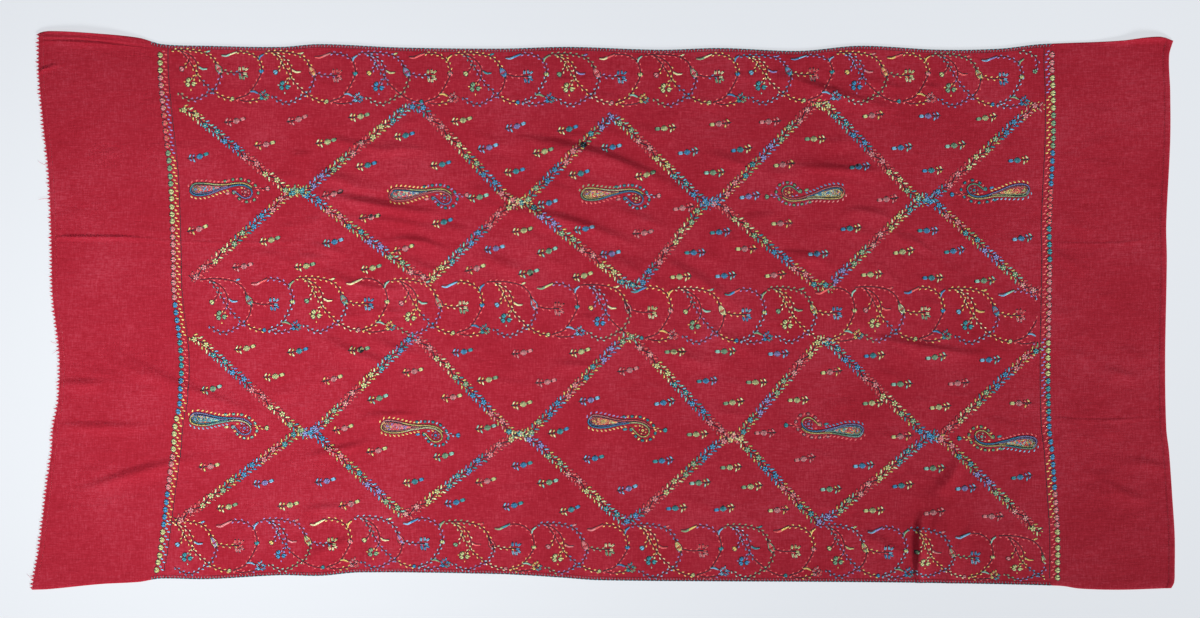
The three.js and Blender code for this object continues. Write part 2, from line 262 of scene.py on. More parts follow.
def fold_height(fold, x, y):
    """How high one fold stands at many places: steep on its left and gentle on its right."""
    x1, y1, x2, y2, bend, height, left, right = fold
    length = math.hypot(x2 - x1, y2 - y1)
    dx, dy = (x2 - x1) / length, (y2 - y1) / length
    way = ((x - x1) * dx + (y - y1) * dy) / length
    inside = np.clip(way, 0, 1)
    aside = (x - x1) * dy - (y - y1) * dx - 4 * bend * inside * (1 - inside)
    steep = np.cos(np.clip(-aside / left, 0, 1) * math.pi / 2) ** 2
    gentle = (1 - np.clip(aside / right, 0, 1)) ** 2
    section = np.where(aside < 0, steep, gentle)
    return height * section * np.sin(inside * math.pi) ** END_FADE


def sharpened(folds):
    """The solid's folds with narrower sides, for the finer cloth that is seen."""
    rows = []
    for *line, height, left, right in folds:
        rows.append((*line, height * HEIGHT_SHARE, left * STEEP_SHARE, right * GENTLE_SHARE))
    return rows


def near(fold, x, y):
    """The places that a fold can reach."""
    x1, y1, x2, y2, bend, _, left, right = fold
    room = abs(bend) + max(left, right)
    inside_x = (x > min(x1, x2) - room) & (x < max(x1, x2) + room)
    return inside_x & (y > min(y1, y2) - room) & (y < max(y1, y2) + room)


CLOTH_FOLDS = [*sharpened(FOLDS), *CREASES, *puckers()]


def lift(x, y, folds=CLOTH_FOLDS):
    """How high all the folds stand at many places."""
    total = np.zeros_like(x)
    for fold in folds:
        here = near(fold, x, y)
        total[here] += fold_height(fold, x[here], y[here])
    return total


def press_lift(s, t):
    """How high the press lines stand, at shares along and across the cloth."""
    total = np.zeros_like(s)
    for across, start, end, height in PRESS_LINES:
        aside = (t - across) * CUT_WIDTH
        reach = np.where(aside > 0, PRESS_REACH[0], PRESS_REACH[1])
        section = np.cos(np.minimum(np.abs(aside) / reach, 1) * math.pi / 2) ** 2
        ends = np.clip((s - start) / 0.02, 0, 1) * np.clip((end - s) / 0.02, 0, 1)
        total += height * section * ends
    return total


# How finely the cloth is divided: even cells, with finer rows by the back edge and press lines,
# and finer columns where folds run across the shawl
COLUMNS = 240
ROWS = 212
FINE_ROW = 2.0
BACK_BAND = 30
PRESS_BAND = 10
CROSS_FOLDS_X = (505, 650)
FINE_LINES = (0.31, 0.632, 0.935)
HEM_PROFILE = [(13, 0), (11.5, 0.05), (10.5, 0.5), (9.5, 0.85), (8, 1), (5, 0.95), (2.5, 0.9), (1, 0.6)]
RIM = 0.8
RIM_DROP = 0.45


def column_shares():
    """The shares along the cloth where its columns of points lie."""
    start = (LOCK_LENGTH + ROOT_STRIP_WIDTH + 0.3) / CUT_LENGTH
    end = 1 - (HEM_PROFILE[0][0] + 2) / CUT_LENGTH
    hem = [1 - distance / CUT_LENGTH for distance, _ in HEM_PROFILE]
    between = [(x - FRONT_EDGE[0][0]) / CUT_LENGTH for x in np.arange(*CROSS_FOLDS_X, 3.9)]
    return np.unique([*np.linspace(start, end, COLUMNS), start + 0.5 / CUT_LENGTH, *between, *hem, 1.0])


def row_shares():
    """The shares across the cloth where its rows of points lie."""
    shares = list(np.linspace(0, 1, ROWS))
    shares += [1 - d / CUT_WIDTH for d in np.arange(0, BACK_BAND, FINE_ROW)]
    for across in FINE_LINES:
        shares += [across + d / CUT_WIDTH for d in np.arange(-PRESS_BAND, PRESS_BAND, FINE_ROW)]
    shares += [RIM / CUT_WIDTH, 1 - RIM / CUT_WIDTH]
    shares = np.unique(np.round(shares, 5))
    apart = np.append(True, np.diff(shares) > 0.3 / CUT_WIDTH)
    return shares[apart]


class LaidCloth:
    """The cloth's own grid of points, and the height of its face at any place on it."""

    def __init__(self):
        self.s, self.t = column_shares(), row_shares()
        grid_s, grid_t = np.meshgrid(self.s, self.t, indexing="ij")
        self.x, self.y = laid(grid_s, grid_t)
        self.under = lift(self.x, self.y)
        self.under += press_lift(grid_s, grid_t)
        self.top = self.under + WALL + self.hem(grid_s) - self.rim(grid_s, grid_t)

    @staticmethod
    def hem(s):
        """How far the turned hem stands above the cloth's face."""
        distance = (1 - s) * CUT_LENGTH
        places = [row[0] for row in reversed(HEM_PROFILE)]
        rises = [row[1] * HEM_RISE for row in reversed(HEM_PROFILE)]
        return np.interp(distance, [0, *places], [0.2, *rises])

    @staticmethod
    def rim(s, t):
        """How far the face rounds down at the cloth's outer edges."""
        to_edge = np.minimum(np.minimum(t, 1 - t) * CUT_WIDTH, (1 - s) * CUT_LENGTH)
        return RIM_DROP * np.clip(1 - to_edge / RIM, 0, 1)

    def height(self, x, y):
        """The height of the cloth's face at many places."""
        s, t = unlaid(np.asarray(x, float), np.asarray(y, float))
        s = np.clip(s, self.s[0], self.s[-1])
        i = np.clip(np.searchsorted(self.s, s) - 1, 0, len(self.s) - 2)
        j = np.clip(np.searchsorted(self.t, t) - 1, 0, len(self.t) - 2)
        u = (s - self.s[i]) / (self.s[i + 1] - self.s[i])
        v = (t - self.t[j]) / (self.t[j + 1] - self.t[j])
        low = self.top[i, j] * (1 - u) + self.top[i + 1, j] * u
        high = self.top[i, j + 1] * (1 - u) + self.top[i + 1, j + 1] * u
        return low * (1 - v) + high * v


CLOTH = LaidCloth()

# ---------------------------------------------------------------------------------------------
# Meshes and threads


def make_piece(name, points, faces, materials, slots=None, smooth=True):
    """A piece on the root body, from points in millimetres."""
    mesh = bpy.data.meshes.new(name)
    mesh.from_pydata((np.asarray(points, float) * MM).tolist(), [], faces)
    for material in materials:
        mesh.materials.append(material)
    if slots is not None:
        mesh.polygons.foreach_set("material_index", slots)
    mesh.polygons.foreach_set("use_smooth", [smooth] * len(mesh.polygons))
    mesh.update()
    piece = bpy.data.objects.new(name, mesh)
    bpy.context.scene.collection.objects.link(piece)
    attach(piece, BODY)
    return piece


# Thread colours, as the eye sees them (sRGB)
THREADS = {
    "slate": (28, 40, 52),
    "cream": (255, 252, 196),
    "gold": (255, 224, 128),
    "lime": (226, 232, 158),
    "green": (144, 190, 146),
    "mint": (164, 226, 208),
    "teal": (60, 166, 180),
    "blue": (64, 158, 214),
    "sky": (138, 206, 244),
    "violet": (162, 150, 222),
    "coral": (255, 106, 108),
    "pink": (246, 150, 154),
    "red": (184, 50, 68),
}
DEEPER = 0.86


def linear(colour, share=1.0):
    """The shader's colour for an sRGB one, 0 to 255."""
    parts = [c / 255 for c in colour]
    parts = [p / 12.92 if p <= 0.04045 else ((p + 0.055) / 1.055) ** 2.4 for p in parts]
    return (*[p * share for p in parts], 1.0)


class Shading:
    """A material's nodes: its shader, and others added and joined by their sockets."""

    def __init__(self, name, looks):
        self.material = bpy.data.materials.new(name)
        self.material.use_nodes = True
        self.nodes, self.links = self.material.node_tree.nodes, self.material.node_tree.links
        self.shader = self.nodes["Principled BSDF"]
        self.fill(self.shader, looks)

    def fill(self, node, values):
        """Gives a node's inputs their values, or joins them where a value is another node's socket."""
        for name, value in values.items():
            if isinstance(value, bpy.types.NodeSocket):
                self.links.new(value, node.inputs[name])
            else:
                node.inputs[name].default_value = value

    def add(self, kind, output, values):
        """A new node's output."""
        node = self.nodes.new(kind)
        self.fill(node, values)
        return node.outputs[output]

    def noise(self, scale, detail, stretch=None):
        """A noise in the object's own metres, stretched in three ways if asked."""
        place = self.add("ShaderNodeTexCoord", "Object", {})
        if stretch:
            place = self.add("ShaderNodeMapping", "Vector", {"Vector": place, "Scale": stretch})
        return self.add("ShaderNodeTexNoise", "Fac", {"Vector": place, "Scale": scale, "Detail": detail})

    def bump(self, height, strength, distance, **below):
        """A bump from a height, on top of another's normal if one is given."""
        values = {"Height": height, "Strength": strength, "Distance": distance, **below}
        return self.add("ShaderNodeBump", "Normal", values)

    def maths(self, operation, *values):
        """Two values added or multiplied."""
        node = self.nodes.new("ShaderNodeMath")
        node.operation = operation
        self.fill(node, dict(enumerate(values)))
        return node.outputs[0]


def thread_material(name, share):
    """Fine wool thread: a soft sheen along it and the ply's small ridges in its bump."""
    shading = Shading(f"thread_{name}" + ("" if share == 1 else "_deep"), {
        "Base Color": linear(THREADS[name], share),
        "Roughness": 0.62,
        "Specular IOR Level": 0.35,
        "Sheen Weight": 0.05 if name == "slate" else 0.35,
        "Sheen Roughness": 0.4,
    })
    shading.fill(shading.shader, {"Normal": shading.bump(shading.noise(2600, 2), 0.4, 0.0002)})
    return shading.material


THREAD_MATERIALS = {}


def thread(name, deep=False):
    """One thread's material, made once; a deep one is a shade darker."""
    key = (name, deep)
    if key not in THREAD_MATERIALS:
        THREAD_MATERIALS[key] = thread_material(name, DEEPER if deep else 1.0)
    return THREAD_MATERIALS[key]


# One stitch: six points round its foot and two along its crest, as (along, across, up) shares
STITCH_POINTS = np.array([
    (0, 0, 0), (0.22, 0.44, 0), (0.78, 0.44, 0), (1, 0, 0), (0.78, -0.44, 0), (0.22, -0.44, 0),
    (0.26, 0, 1), (0.74, 0, 1),
])
STITCH_FACES = [(0, 5, 6), (5, 4, 7, 6), (4, 3, 7), (3, 2, 7), (2, 1, 6, 7), (1, 0, 6), (0, 1, 2, 3, 4, 5)]
SUNK = 0.12


class Threadwork:
    """Gathers stitches, and makes them into one piece that lies on the cloth's face."""

    def __init__(self, seed, from_x=-CUT_LENGTH, to_x=CUT_LENGTH):
        self.stitches = []
        self.keys = []
        self.random = random.Random(seed)
        self.from_x, self.to_x = from_x, to_x

    def stitch(self, start, end, width, colour, height=0.38, raised=0.0, deep=None):
        """Adds one stitch, unless it lies past the piece's two ends. The shade is drawn if none is asked."""
        if deep is None:
            deep = self.random.random() < 0.3
        if not self.from_x < min(start[0], end[0]) <= max(start[0], end[0]) < self.to_x:
            return
        self.stitches.append((*start, *end, width, height, raised))
        self.keys.append((colour, deep))

    def piece(self, name, slot="embroidery_thread"):
        """All stitches as one mesh: each is a closed crown whose foot is sunk into the cloth's face."""
        rows = np.array(self.stitches)
        start, end = rows[:, 0:2], rows[:, 2:4]
        width, height, raised = rows[:, 4:5], rows[:, 5:6], rows[:, 6:7]
        along = end - start
        length = np.linalg.norm(along, axis=1, keepdims=True)
        side = np.stack([-along[:, 1], along[:, 0]], axis=1) / np.maximum(length, 1e-6)
        u, v, w = STITCH_POINTS.T
        x = start[:, 0:1] + along[:, 0:1] * u + side[:, 0:1] * width * v
        y = start[:, 1:2] + along[:, 1:2] * u + side[:, 1:2] * width * v
        z = CLOTH.height(x.ravel(), y.ravel()).reshape(x.shape) + raised - SUNK + (height + SUNK) * w
        points = np.stack([x, y, z], axis=2).reshape(-1, 3)
        corners = len(STITCH_POINTS)
        faces = [tuple(corners * n + c for c in face) for n in range(len(rows)) for face in STITCH_FACES]
        used = sorted(set(self.keys))
        places = {key: number for number, key in enumerate(used)}
        slots = np.repeat([places[key] for key in self.keys], len(STITCH_FACES))
        piece = make_piece(name, points, faces, [thread(*key) for key in used], slots)
        return piece


def smooth_path(points, step):
    """Evenly spaced places and directions along a smooth curve through a few points."""
    points = np.array(points, float)
    ends = np.vstack([2 * points[0] - points[1], points, 2 * points[-1] - points[-2]])
    pieces = []
    for a, b, c, d in zip(ends, ends[1:], ends[2:], ends[3:]):
        t = np.linspace(0, 1, 14, endpoint=False)[:, None]
        pieces.append(0.5 * (2 * b + (c - a) * t + (2 * a - 5 * b + 4 * c - d) * t**2
                             + (3 * b - a - 3 * c + d) * t**3))
    fine = np.vstack([*pieces, points[-1:]])
    run = np.append(0, np.cumsum(np.linalg.norm(np.diff(fine, axis=0), axis=1)))
    count = max(int(round(run[-1] / step)), 1)
    at = np.linspace(0, run[-1], count + 1)
    places = np.stack([np.interp(at, run, fine[:, k]) for k in (0, 1)], axis=1)
    ways = np.gradient(places, axis=0)
    ways /= np.maximum(np.linalg.norm(ways, axis=1, keepdims=True), 1e-9)
    return places, ways


def ends_of(middle, angle, length):
    """A line's two ends, from its middle and its angle in degrees."""
    du = math.cos(math.radians(angle)) * length / 2
    dv = math.sin(math.radians(angle)) * length / 2
    return (middle[0] - du, middle[1] - dv), (middle[0] + du, middle[1] + dv)


def away(middle, angle, reach):
    """The place at a distance from another, at an angle in degrees."""
    way = math.radians(angle)
    return middle[0] + math.cos(way) * reach, middle[1] + math.sin(way) * reach


def shared(colours, share):
    """The colour at a share of the way through a run of them."""
    return colours[min(int(share * len(colours)), len(colours) - 1)]


def heading(way):
    """The angle of a direction, in degrees."""
    return math.degrees(math.atan2(way[1], way[0]))


class Needle:
    """Stitches motifs from one place: its own origin and turn, and its stretch in three ways.

    The stretches are along (mirrored below 0), and across, above and below the origin.
    """

    def __init__(self, work, x=0.0, y=0.0, turn=0.0, along=1.0, above=1.0, below=1.0):
        self.work, self.x, self.y, self.turn = work, x, y, turn
        self.along, self.above, self.below = along, above, below
        self.cos, self.sin = math.cos(math.radians(turn)), math.sin(math.radians(turn))

    def place(self, u, v):
        """A place in the needle's own frame, as x and y on the cloth."""
        u = u * self.along
        v = v * (self.above if v > 0 else self.below)
        return self.x + u * self.cos - v * self.sin, self.y + u * self.sin + v * self.cos

    def moved(self, u, v, turn):
        """A needle at a place in this one's frame, turned there."""
        mirror = 1 if self.along > 0 else -1
        return Needle(self.work, *self.place(u, v), self.turn + turn * mirror, mirror)

    def stitch(self, a, b, width, colour, **how):
        """A stitch between two places in the needle's own frame."""
        self.work.stitch(self.place(*a), self.place(*b), width, colour, **how)

    def slant(self, middle, angle, length, width, colour, **how):
        """A stitch by its middle and its angle in degrees."""
        self.stitch(*ends_of(middle, angle, length), width, colour, **how)

    def dot(self, middle, size, colour, **how):
        """A stitch as wide as it is long, at a random angle."""
        self.slant(middle, self.work.random.uniform(0, 180), size, size, colour, **how)

    def leaf(self, a, b, width, colour, strands=3, rim=1.2):
        """A leaf of long strands over a dark outline, from its foot a to its tip b."""
        length = math.dist(a, b)
        ahead = ((b[0] - a[0]) / length, (b[1] - a[1]) / length)

        def at(way, across):
            return a[0] + ahead[0] * way - ahead[1] * across, a[1] + ahead[1] * way + ahead[0] * across

        self.stitch(at(-rim, 0), at(length + rim, 0), width + 2 * rim, "slate", height=0.35)
        for k in range(strands):
            across = (2 * k / (strands - 1) - 1) * width * 0.3
            short = abs(across) / width * length * 0.5
            near_middle = abs(across) < 0.1
            raised = 0.3 if near_middle else 0.18
            self.stitch(at(short, across), at(length - short, across), width / strands * 1.45, colour,
                        height=0.42, raised=raised, deep=not near_middle)

    def petal(self, foot, angle, length, width, colour):
        """A cup-shaped petal of fanned strands, dark round its rim and down its middle."""
        way = math.radians(angle)
        ahead, side = (math.cos(way), math.sin(way)), (-math.sin(way), math.cos(way))

        def at(reach, across):
            x = foot[0] + ahead[0] * reach + side[0] * across
            y = foot[1] + ahead[1] * reach + side[1] * across
            return x, y

        for share in (-1, -0.5, 0, 0.5, 1):
            reach = length * (1 - 0.3 * share * share) + 1.4
            tip = at(reach, share * (width / 2 + 1.3))
            self.stitch(at(-1.2, 0), tip, width * 0.42 + 1.2, "slate", height=0.34)
        for share in (-1, -0.5, 0.5, 1):
            reach = length * (1 - 0.26 * share * share)
            root, tip = at(0.3, share * width * 0.1), at(reach, share * width * 0.46)
            self.stitch(root, tip, width * 0.34, colour, height=0.42, raised=0.24, deep=abs(share) == 1)
        self.stitch(at(0, 0), at(length * 0.82, 0), 1.3, "slate", height=0.34, raised=0.4)

    def bud(self, middle, length, width, angle, colour):
        """A leaf by its middle and its angle in degrees."""
        self.leaf(*ends_of(middle, angle, length), width, colour, strands=4)

    def flower(self, middle, size, petal, heart, petals=5, turn=0.0):
        """A round flower: petals round a knot, on a dark ground that shows between and round them."""
        for angle in (0, 60, 120):
            self.slant(middle, angle, size + 3.6, size * 0.74 + 2.6, "slate", height=0.36)
        for k in range(petals):
            way = math.radians(turn + 360 * k / petals)
            ahead = (math.cos(way), math.sin(way))
            a = (middle[0] + ahead[0] * size * 0.1, middle[1] + ahead[1] * size * 0.1)
            b = (middle[0] + ahead[0] * size * 0.54, middle[1] + ahead[1] * size * 0.54)
            self.stitch(a, b, size * 0.4, petal, height=0.42, raised=0.3)
        self.dot(middle, size * 0.28, heart, height=0.8, raised=0.35, deep=False)

    def stem(self, points, width=1.6, pitch=3.8):
        """A dark line of stitches that overlap along a smooth curve."""
        places, ways = smooth_path(points, pitch)
        reach = pitch * 0.8
        for (x, y), (dx, dy) in zip(places, ways):
            start, end = (x - dx * reach, y - dy * reach), (x + dx * reach, y + dy * reach)
            self.stitch(start, end, width, "slate", height=0.34, raised=0.14)

    def seeds(self, points, colours, pitch=5.4, spread=2.6, length=4.9, width=2.5):
        """Small seeds on alternate sides of a stem, leaning forward; the colours share its length."""
        places, ways = smooth_path(points, pitch)
        count = len(places)
        for n, ((x, y), (dx, dy)) in enumerate(zip(places, ways)):
            colour = shared(colours, n / count)
            side = 1 if n % 2 else -1
            middle = (x - dy * spread * side, y + dx * spread * side)
            angle = heading((dx, dy)) + 24 * side + self.work.random.uniform(-9, 9)
            self.slant(middle, angle, length, width, colour, height=0.42, raised=0.1)

    def satin(self, points, width, colours, pitch=1.5):
        """A curved leaf filled with slanting stitches, wide in its middle."""
        places, ways = smooth_path(points, pitch)
        last = len(places) - 1
        for n, ((x, y), (dx, dy)) in enumerate(zip(places, ways)):
            share = n / max(last, 1)
            wide = width * (0.35 + 0.65 * math.sin(math.pi * min(max(share, 0.04), 0.96)) ** 0.7)
            angle, colour = heading((dx, dy)) + 48, shared(colours, share)
            self.slant((x, y), angle, wide * 1.3, pitch * 1.15, colour, height=0.42, raised=0.22)
        rim = [(x - dy * width * 0.5, y + dx * width * 0.5) for (x, y), (dx, dy) in zip(places, ways)]
        self.stem([rim[0], rim[last // 2], rim[-1]], width=1.3)


# ---------------------------------------------------------------------------------------------
# Motifs, each in its own frame in millimetres


# A fan flower's strokes past its stem's end: from u, v to u, v, the width, and which of its two colours
FAN_STROKES = [
    (-1, 1.5, -0.5, 11, 3.2, 0), (-1, -1.5, 2.5, -12, 3.2, 1), (3, -0.5, 13, -1.5, 3.2, 0),
    (5.5, 2.5, 4.8, 11.5, 2.8, 0), (6.5, 3, 13.8, 8.8, 2.8, 0), (5.5, -3, 6.8, -12.5, 2.8, 1),
    (6.5, -3, 14.2, -7, 2.8, 1),
]


def fan_flower(needle, stem_end, turn, colours, size=1.1):
    """Seven strokes fanned round the end of a stem."""
    fan = needle.moved(*stem_end, turn)
    fan.stem([(-2, 0), (5.5 * size, 0)], width=2.4)
    for u1, v1, u2, v2, width, role in FAN_STROKES:
        foot, tip = (u1 * size, v1 * size), (u2 * size, v2 * size)
        fan.leaf(foot, tip, width * size, colours[role], strands=2, rim=0.9)


def tear_leaf(needle, foot, tip, colours):
    """A drop-shaped leaf: strands that spread from its foot and meet at its tip, in a dark outline."""
    length, width = math.dist(foot, tip), 11.0
    ahead = ((tip[0] - foot[0]) / length, (tip[1] - foot[1]) / length)

    def at(way, across):
        u, v = way * length, across * width
        return foot[0] + ahead[0] * u - ahead[1] * v, foot[1] + ahead[1] * u + ahead[0] * v

    for side in (-1, 1):
        rim = [at(-0.08, 0), at(0.25, 0.3 * side), at(0.6, 0.53 * side), at(0.9, 0.3 * side), at(1.05, 0)]
        needle.stem(rim, width=1.3)
    for across in (-0.42, -0.14, 0.14, 0.42):
        knee = at(0.58, across)
        colour = colours[0] if abs(across) > 0.2 else colours[1]
        needle.stitch(at(0.02, across * 0.2), knee, 2.4, "slate", height=0.4)
        needle.stitch(at(0.05, across * 0.3), knee, 1.9, colour, height=0.42, raised=0.2)
        needle.stitch(knee, at(0.97, across * 0.3), 2.2, colour, height=0.42, raised=0.2)


def three_petals(needle, middle, petal, seed):
    """Three cup-shaped petals round a knot, with seeds between them."""
    for angle in (130, 218, -22):
        needle.petal(away(middle, angle, 1.8), angle, 8.8, 8.2, petal)
    for u, v, angle in ((-10.5, 1, 170), (2, 7, 80), (6.5, 5, 40), (1, -13, -85), (10, -1, 0)):
        needle.slant((middle[0] + u, middle[1] + v), angle, 4.2, 2.5, seed, raised=0.05)


# The vine repeat, from its drop-shaped leaf. Each row: the thread role of its seeds, then its points,
# read from an enlarged repeat in the photograph
VINE_STEMS = [
    ("vine", [(-84, 37), (-66, 38.5), (-47, 37.5), (-26, 33), (-12, 23), (-5, 11)]),
    ("inner", [(3, -9), (2, -19), (-2, -30), (-9, -39)]),
    ("branch", [(6, -4), (22, -7.5), (38, -7)]),
    ("main", [
        (-68, 34), (-57, 19), (-45, -1), (-37, -15), (-25, -28), (-8, -42), (4, -49), (15, -53), (23, -54),
    ]),
    ("loop", [
        (35, -52), (53, -45), (64, -31), (73, -14), (77, -3), (75, 11), (70, 24), (57, 34), (44, 37.5),
        (33, 37),
    ]),
    ("loop", [(35, -54), (49, -57), (64, -55.5), (74, -53)]),
    ("third", [(-68, 35), (-57, 30), (-46.5, 21), (-40, 9), (-38, -4), (-40, -12), (-46, -20)]),
    ("third", [(-54, 17), (-57, 8), (-61, 2)]),
    ("arc", [(-70, -46), (-61, -53), (-52, -57), (-41, -57.5), (-31, -53), (-20, -46), (-9, -40)]),
]

# Threads of one repeat by role; the borders take them in turn
COLOURWAYS = [
    dict(inner=["violet"], main=["coral", "gold", "blue", "gold"], loop=["coral", "gold"],
         third=["coral", "gold"], arc=["green", "violet", "blue"], fan=("cream", "green"), knot="lime",
         cluster=("teal", "green"), bud="pink", petal="lime", seed="gold", comma="blue", heart="blue"),
    dict(inner=["coral"], main=["teal", "violet", "blue", "gold"], loop=["sky", "violet"],
         third=["coral"], arc=["blue", "violet"], fan=("sky", "blue"), knot="blue",
         cluster=("blue", "teal"), bud="lime", petal="green", seed="gold", comma="green", heart="lime"),
    dict(inner=["violet", "blue"], main=["gold", "cream", "gold"], loop=["coral", "coral", "violet"],
         third=["cream", "gold"], arc=["blue", "sky"], fan=("coral", "pink"), knot="lime",
         cluster=("sky", "blue"), bud="sky", petal="teal", seed="mint", comma="sky", heart="teal"),
    dict(inner=["sky"], main=["lime", "gold", "cream"], loop=["gold", "coral", "coral"],
         third=["gold", "cream"], arc=["sky", "violet"], fan=("blue", "sky"), knot="pink",
         cluster=("gold", "teal"), bud="green", petal="lime", seed="gold", comma="mint", heart="lime"),
    dict(inner=["green"], main=["violet", "blue", "coral", "coral"], loop=["coral", "gold"],
         third=["sky", "violet"], arc=["mint", "green"], fan=("lime", "cream"), knot="teal",
         cluster=("pink", "coral"), bud="gold", petal="blue", seed="violet", comma="gold",
         heart="pink"),
]


def vine_repeat(needle, threads):
    """One repeat of the vine: its stems with their seeds, then its leaves and flowers."""
    for role, points in VINE_STEMS:
        needle.stem(points)
        needle.seeds(points, threads[role])
    tear_leaf(needle, (-6, 10), (4, -9), threads["leaf"])
    fan_flower(needle, (38, -7), 0, threads["fan"])
    needle.petal((22, -54), 10, 8.0, 6.4, threads["knot"])
    needle.petal((76.5, -7), 95, 8.4, 8.0, threads["heart"])
    needle.satin([(5, 28), (12, 27.5), (20, 31.5), (31, 36.5)], 4.6, threads["swoosh"])
    needle.satin([(71.5, 22), (73, 28), (79, 33)], 4.0, [threads["comma"]])
    needle.satin([(58, -40), (64, -39.5), (71, -43)], 4.0, [threads["comma"]])
    needle.satin([(-36, 1.5), (-30, -2.4), (-22, -2.4)], 4.0, [threads["curl"]])
    needle.leaf((-25, 34), (-16, 38), 3.0, threads["curl"])
    needle.petal((-63, -0.5), 218, 9.0, 8.4, threads["bud"])
    three_petals(needle, (-50, -27), threads["petal"], threads["seed"])
    needle.petal((75, -53), 40, 7.5, 6.5, threads["cluster"][0])
    fan_flower(needle, (80, -48), 40, threads["cluster"], size=0.85)


# How far a repeat reaches above and below its leaf, and what stays free along the shawl's edge
VINE_ABOVE = 41
VINE_BELOW = 60
EDGE_MARGIN = 5


def room(edge, x, y, slope, side):
    """The least distance between a long edge and a repeat's own line through its leaf."""
    aside = np.array([-80, -40, 0, 40, 80])
    return float(np.min((y + aside * slope - through(edge, x + aside)) * side)) - EDGE_MARGIN


def vine_border(name, leaves, seed, from_x, to_x, last_branch=None):
    """Repeats of the vine, each stretched to the leaves beside it and in its own leaf colours."""
    work = Threadwork(seed, from_x, to_x)
    for number, (x, y, vine, leaf, swoosh, comma, branch) in enumerate(leaves):
        before, after = leaves[max(number - 1, 0)], leaves[min(number + 1, len(leaves) - 1)]
        pitches = 1 if number in (0, len(leaves) - 1) else 2
        slope = (after[1] - before[1]) / (after[0] - before[0])
        along = (after[0] - before[0]) / pitches / VINE_PITCH
        back, front = room(BACK_EDGE, x, y, slope, -1), room(FRONT_EDGE, x, y, slope, 1)
        threads = dict(COLOURWAYS[(number * 2 + seed) % len(COLOURWAYS)], curl=comma)
        threads.update(vine=vine.split(), leaf=leaf.split(), swoosh=swoosh.split(), branch=branch.split())
        above, below = min(back / VINE_ABOVE, 1), min(front / VINE_BELOW, 1)
        turn = math.degrees(math.atan(slope))
        vine_repeat(Needle(work, x + 1, y - 0.5, turn, along, above, below), threads)
    if last_branch:
        needle = Needle(work)
        needle.stem(last_branch)
        needle.seeds(last_branch, ["mint", "violet"])
        needle.flower(last_branch[-1], 8.0, "green", "slate")
    return work.piece(name)


# Lattices: the runs of thread colour along a stem, as (flower, heart, leaf, seed)
LATTICE_RUNS = [
    ("lime", "gold", "cream", "gold"),
    ("teal", "cream", "mint", "sky"),
    ("blue", "sky", "teal", "violet"),
    ("pink", "coral", "coral", "coral"),
    ("lime", "coral", "cream", "coral"),
    ("green", "cream", "teal", "gold"),
    ("blue", "teal", "sky", "blue"),
    ("pink", "coral", "pink", "gold"),
    ("teal", "mint", "green", "gold"),
    ("violet", "sky", "sky", "violet"),
    ("green", "cream", "mint", "gold"),
    ("pink", "cream", "coral", "coral"),
]
FLOWER_PITCH = 22.8
FLOWERS_A_RUN = 2


def lattice_stem(work, corners, first_run):
    """One zigzag of the lattice: a wavy stem with flowers on alternate sides and leaves between."""
    points = []
    for (ax, ay), (bx, by) in zip(corners, corners[1:]):
        wide, tall = bx - ax, by - ay
        points += [(ax, ay), (ax + wide * 0.12, ay + tall * 0.07), (ax + wide * 0.88, ay + tall * 0.93)]
    points.append(corners[-1])
    places, ways = smooth_path(points, FLOWER_PITCH / 6)
    swing = [-3.0 * math.sin(math.pi * n / 6) for n in range(len(places))]
    wavy = [(x - dy * w, y + dx * w) for (x, y), (dx, dy), w in zip(places, ways, swing)]
    Needle(work).stem(wavy, width=2.4)
    for n in range(3, len(places) - 2, 6):
        side = 1 if (n // 6) % 2 else -1
        threads = LATTICE_RUNS[(n // 6 // FLOWERS_A_RUN + first_run) % len(LATTICE_RUNS)]
        (x, y), (dx, dy) = places[n], ways[n]
        lattice_unit(Needle(work, x, y, heading((dx, dy))), side, threads)


def lattice_unit(needle, side, threads):
    """A flower in the stem's bend, then a pair of leaves in a V, with small seeds beside them."""
    flower, heart, leaf, seed = threads
    wander = needle.work.random.uniform
    needle.flower((wander(-0.8, 0.8), 2.6 * side), 10.0, flower, heart, turn=wander(0, 70))
    needle.leaf((7.0, 0.5 * side), (14.6 + wander(-1, 1), 8.4 * side), 2.7, leaf, rim=1.3)
    needle.leaf((6.0, -1.0 * side), (12.0, (-9.4 + wander(-1, 1)) * side), 2.7, leaf, rim=1.3)
    needle.leaf((-4.4, -2.6 * side), (1.8, -9.4 * side), 2.4, seed, rim=1.3)
    needle.leaf((-9.0, 3.0 * side), (-4.6, 9.2 * side), 2.2, seed, rim=1.3)
    for u, v, angle in ((4.6, -3.6, -50), (16.6, 3.0, 24), (15.6, -4.2, -40), (6.4, 8.0, 40)):
        needle.slant((u, v * side), angle * side, 5.8, 3.6, "slate", height=0.3)
        needle.slant((u, v * side), angle * side, 4.4, 2.1, seed, raised=0.1)


def lattice(name, high, crossings, low, seed):
    """Two zigzags that cross: one from the first high corner down, one from the first low corner up."""
    work = Threadwork(seed)
    for first, second, run in ((high, low, 0), (low, high, 3)):
        corners = []
        for n in range(len(high)):
            corners.append((first if n % 2 == 0 else second)[n])
            if n < len(crossings):
                corners.append(crossings[n])
        lattice_stem(work, corners, run)
    return work.piece(name)
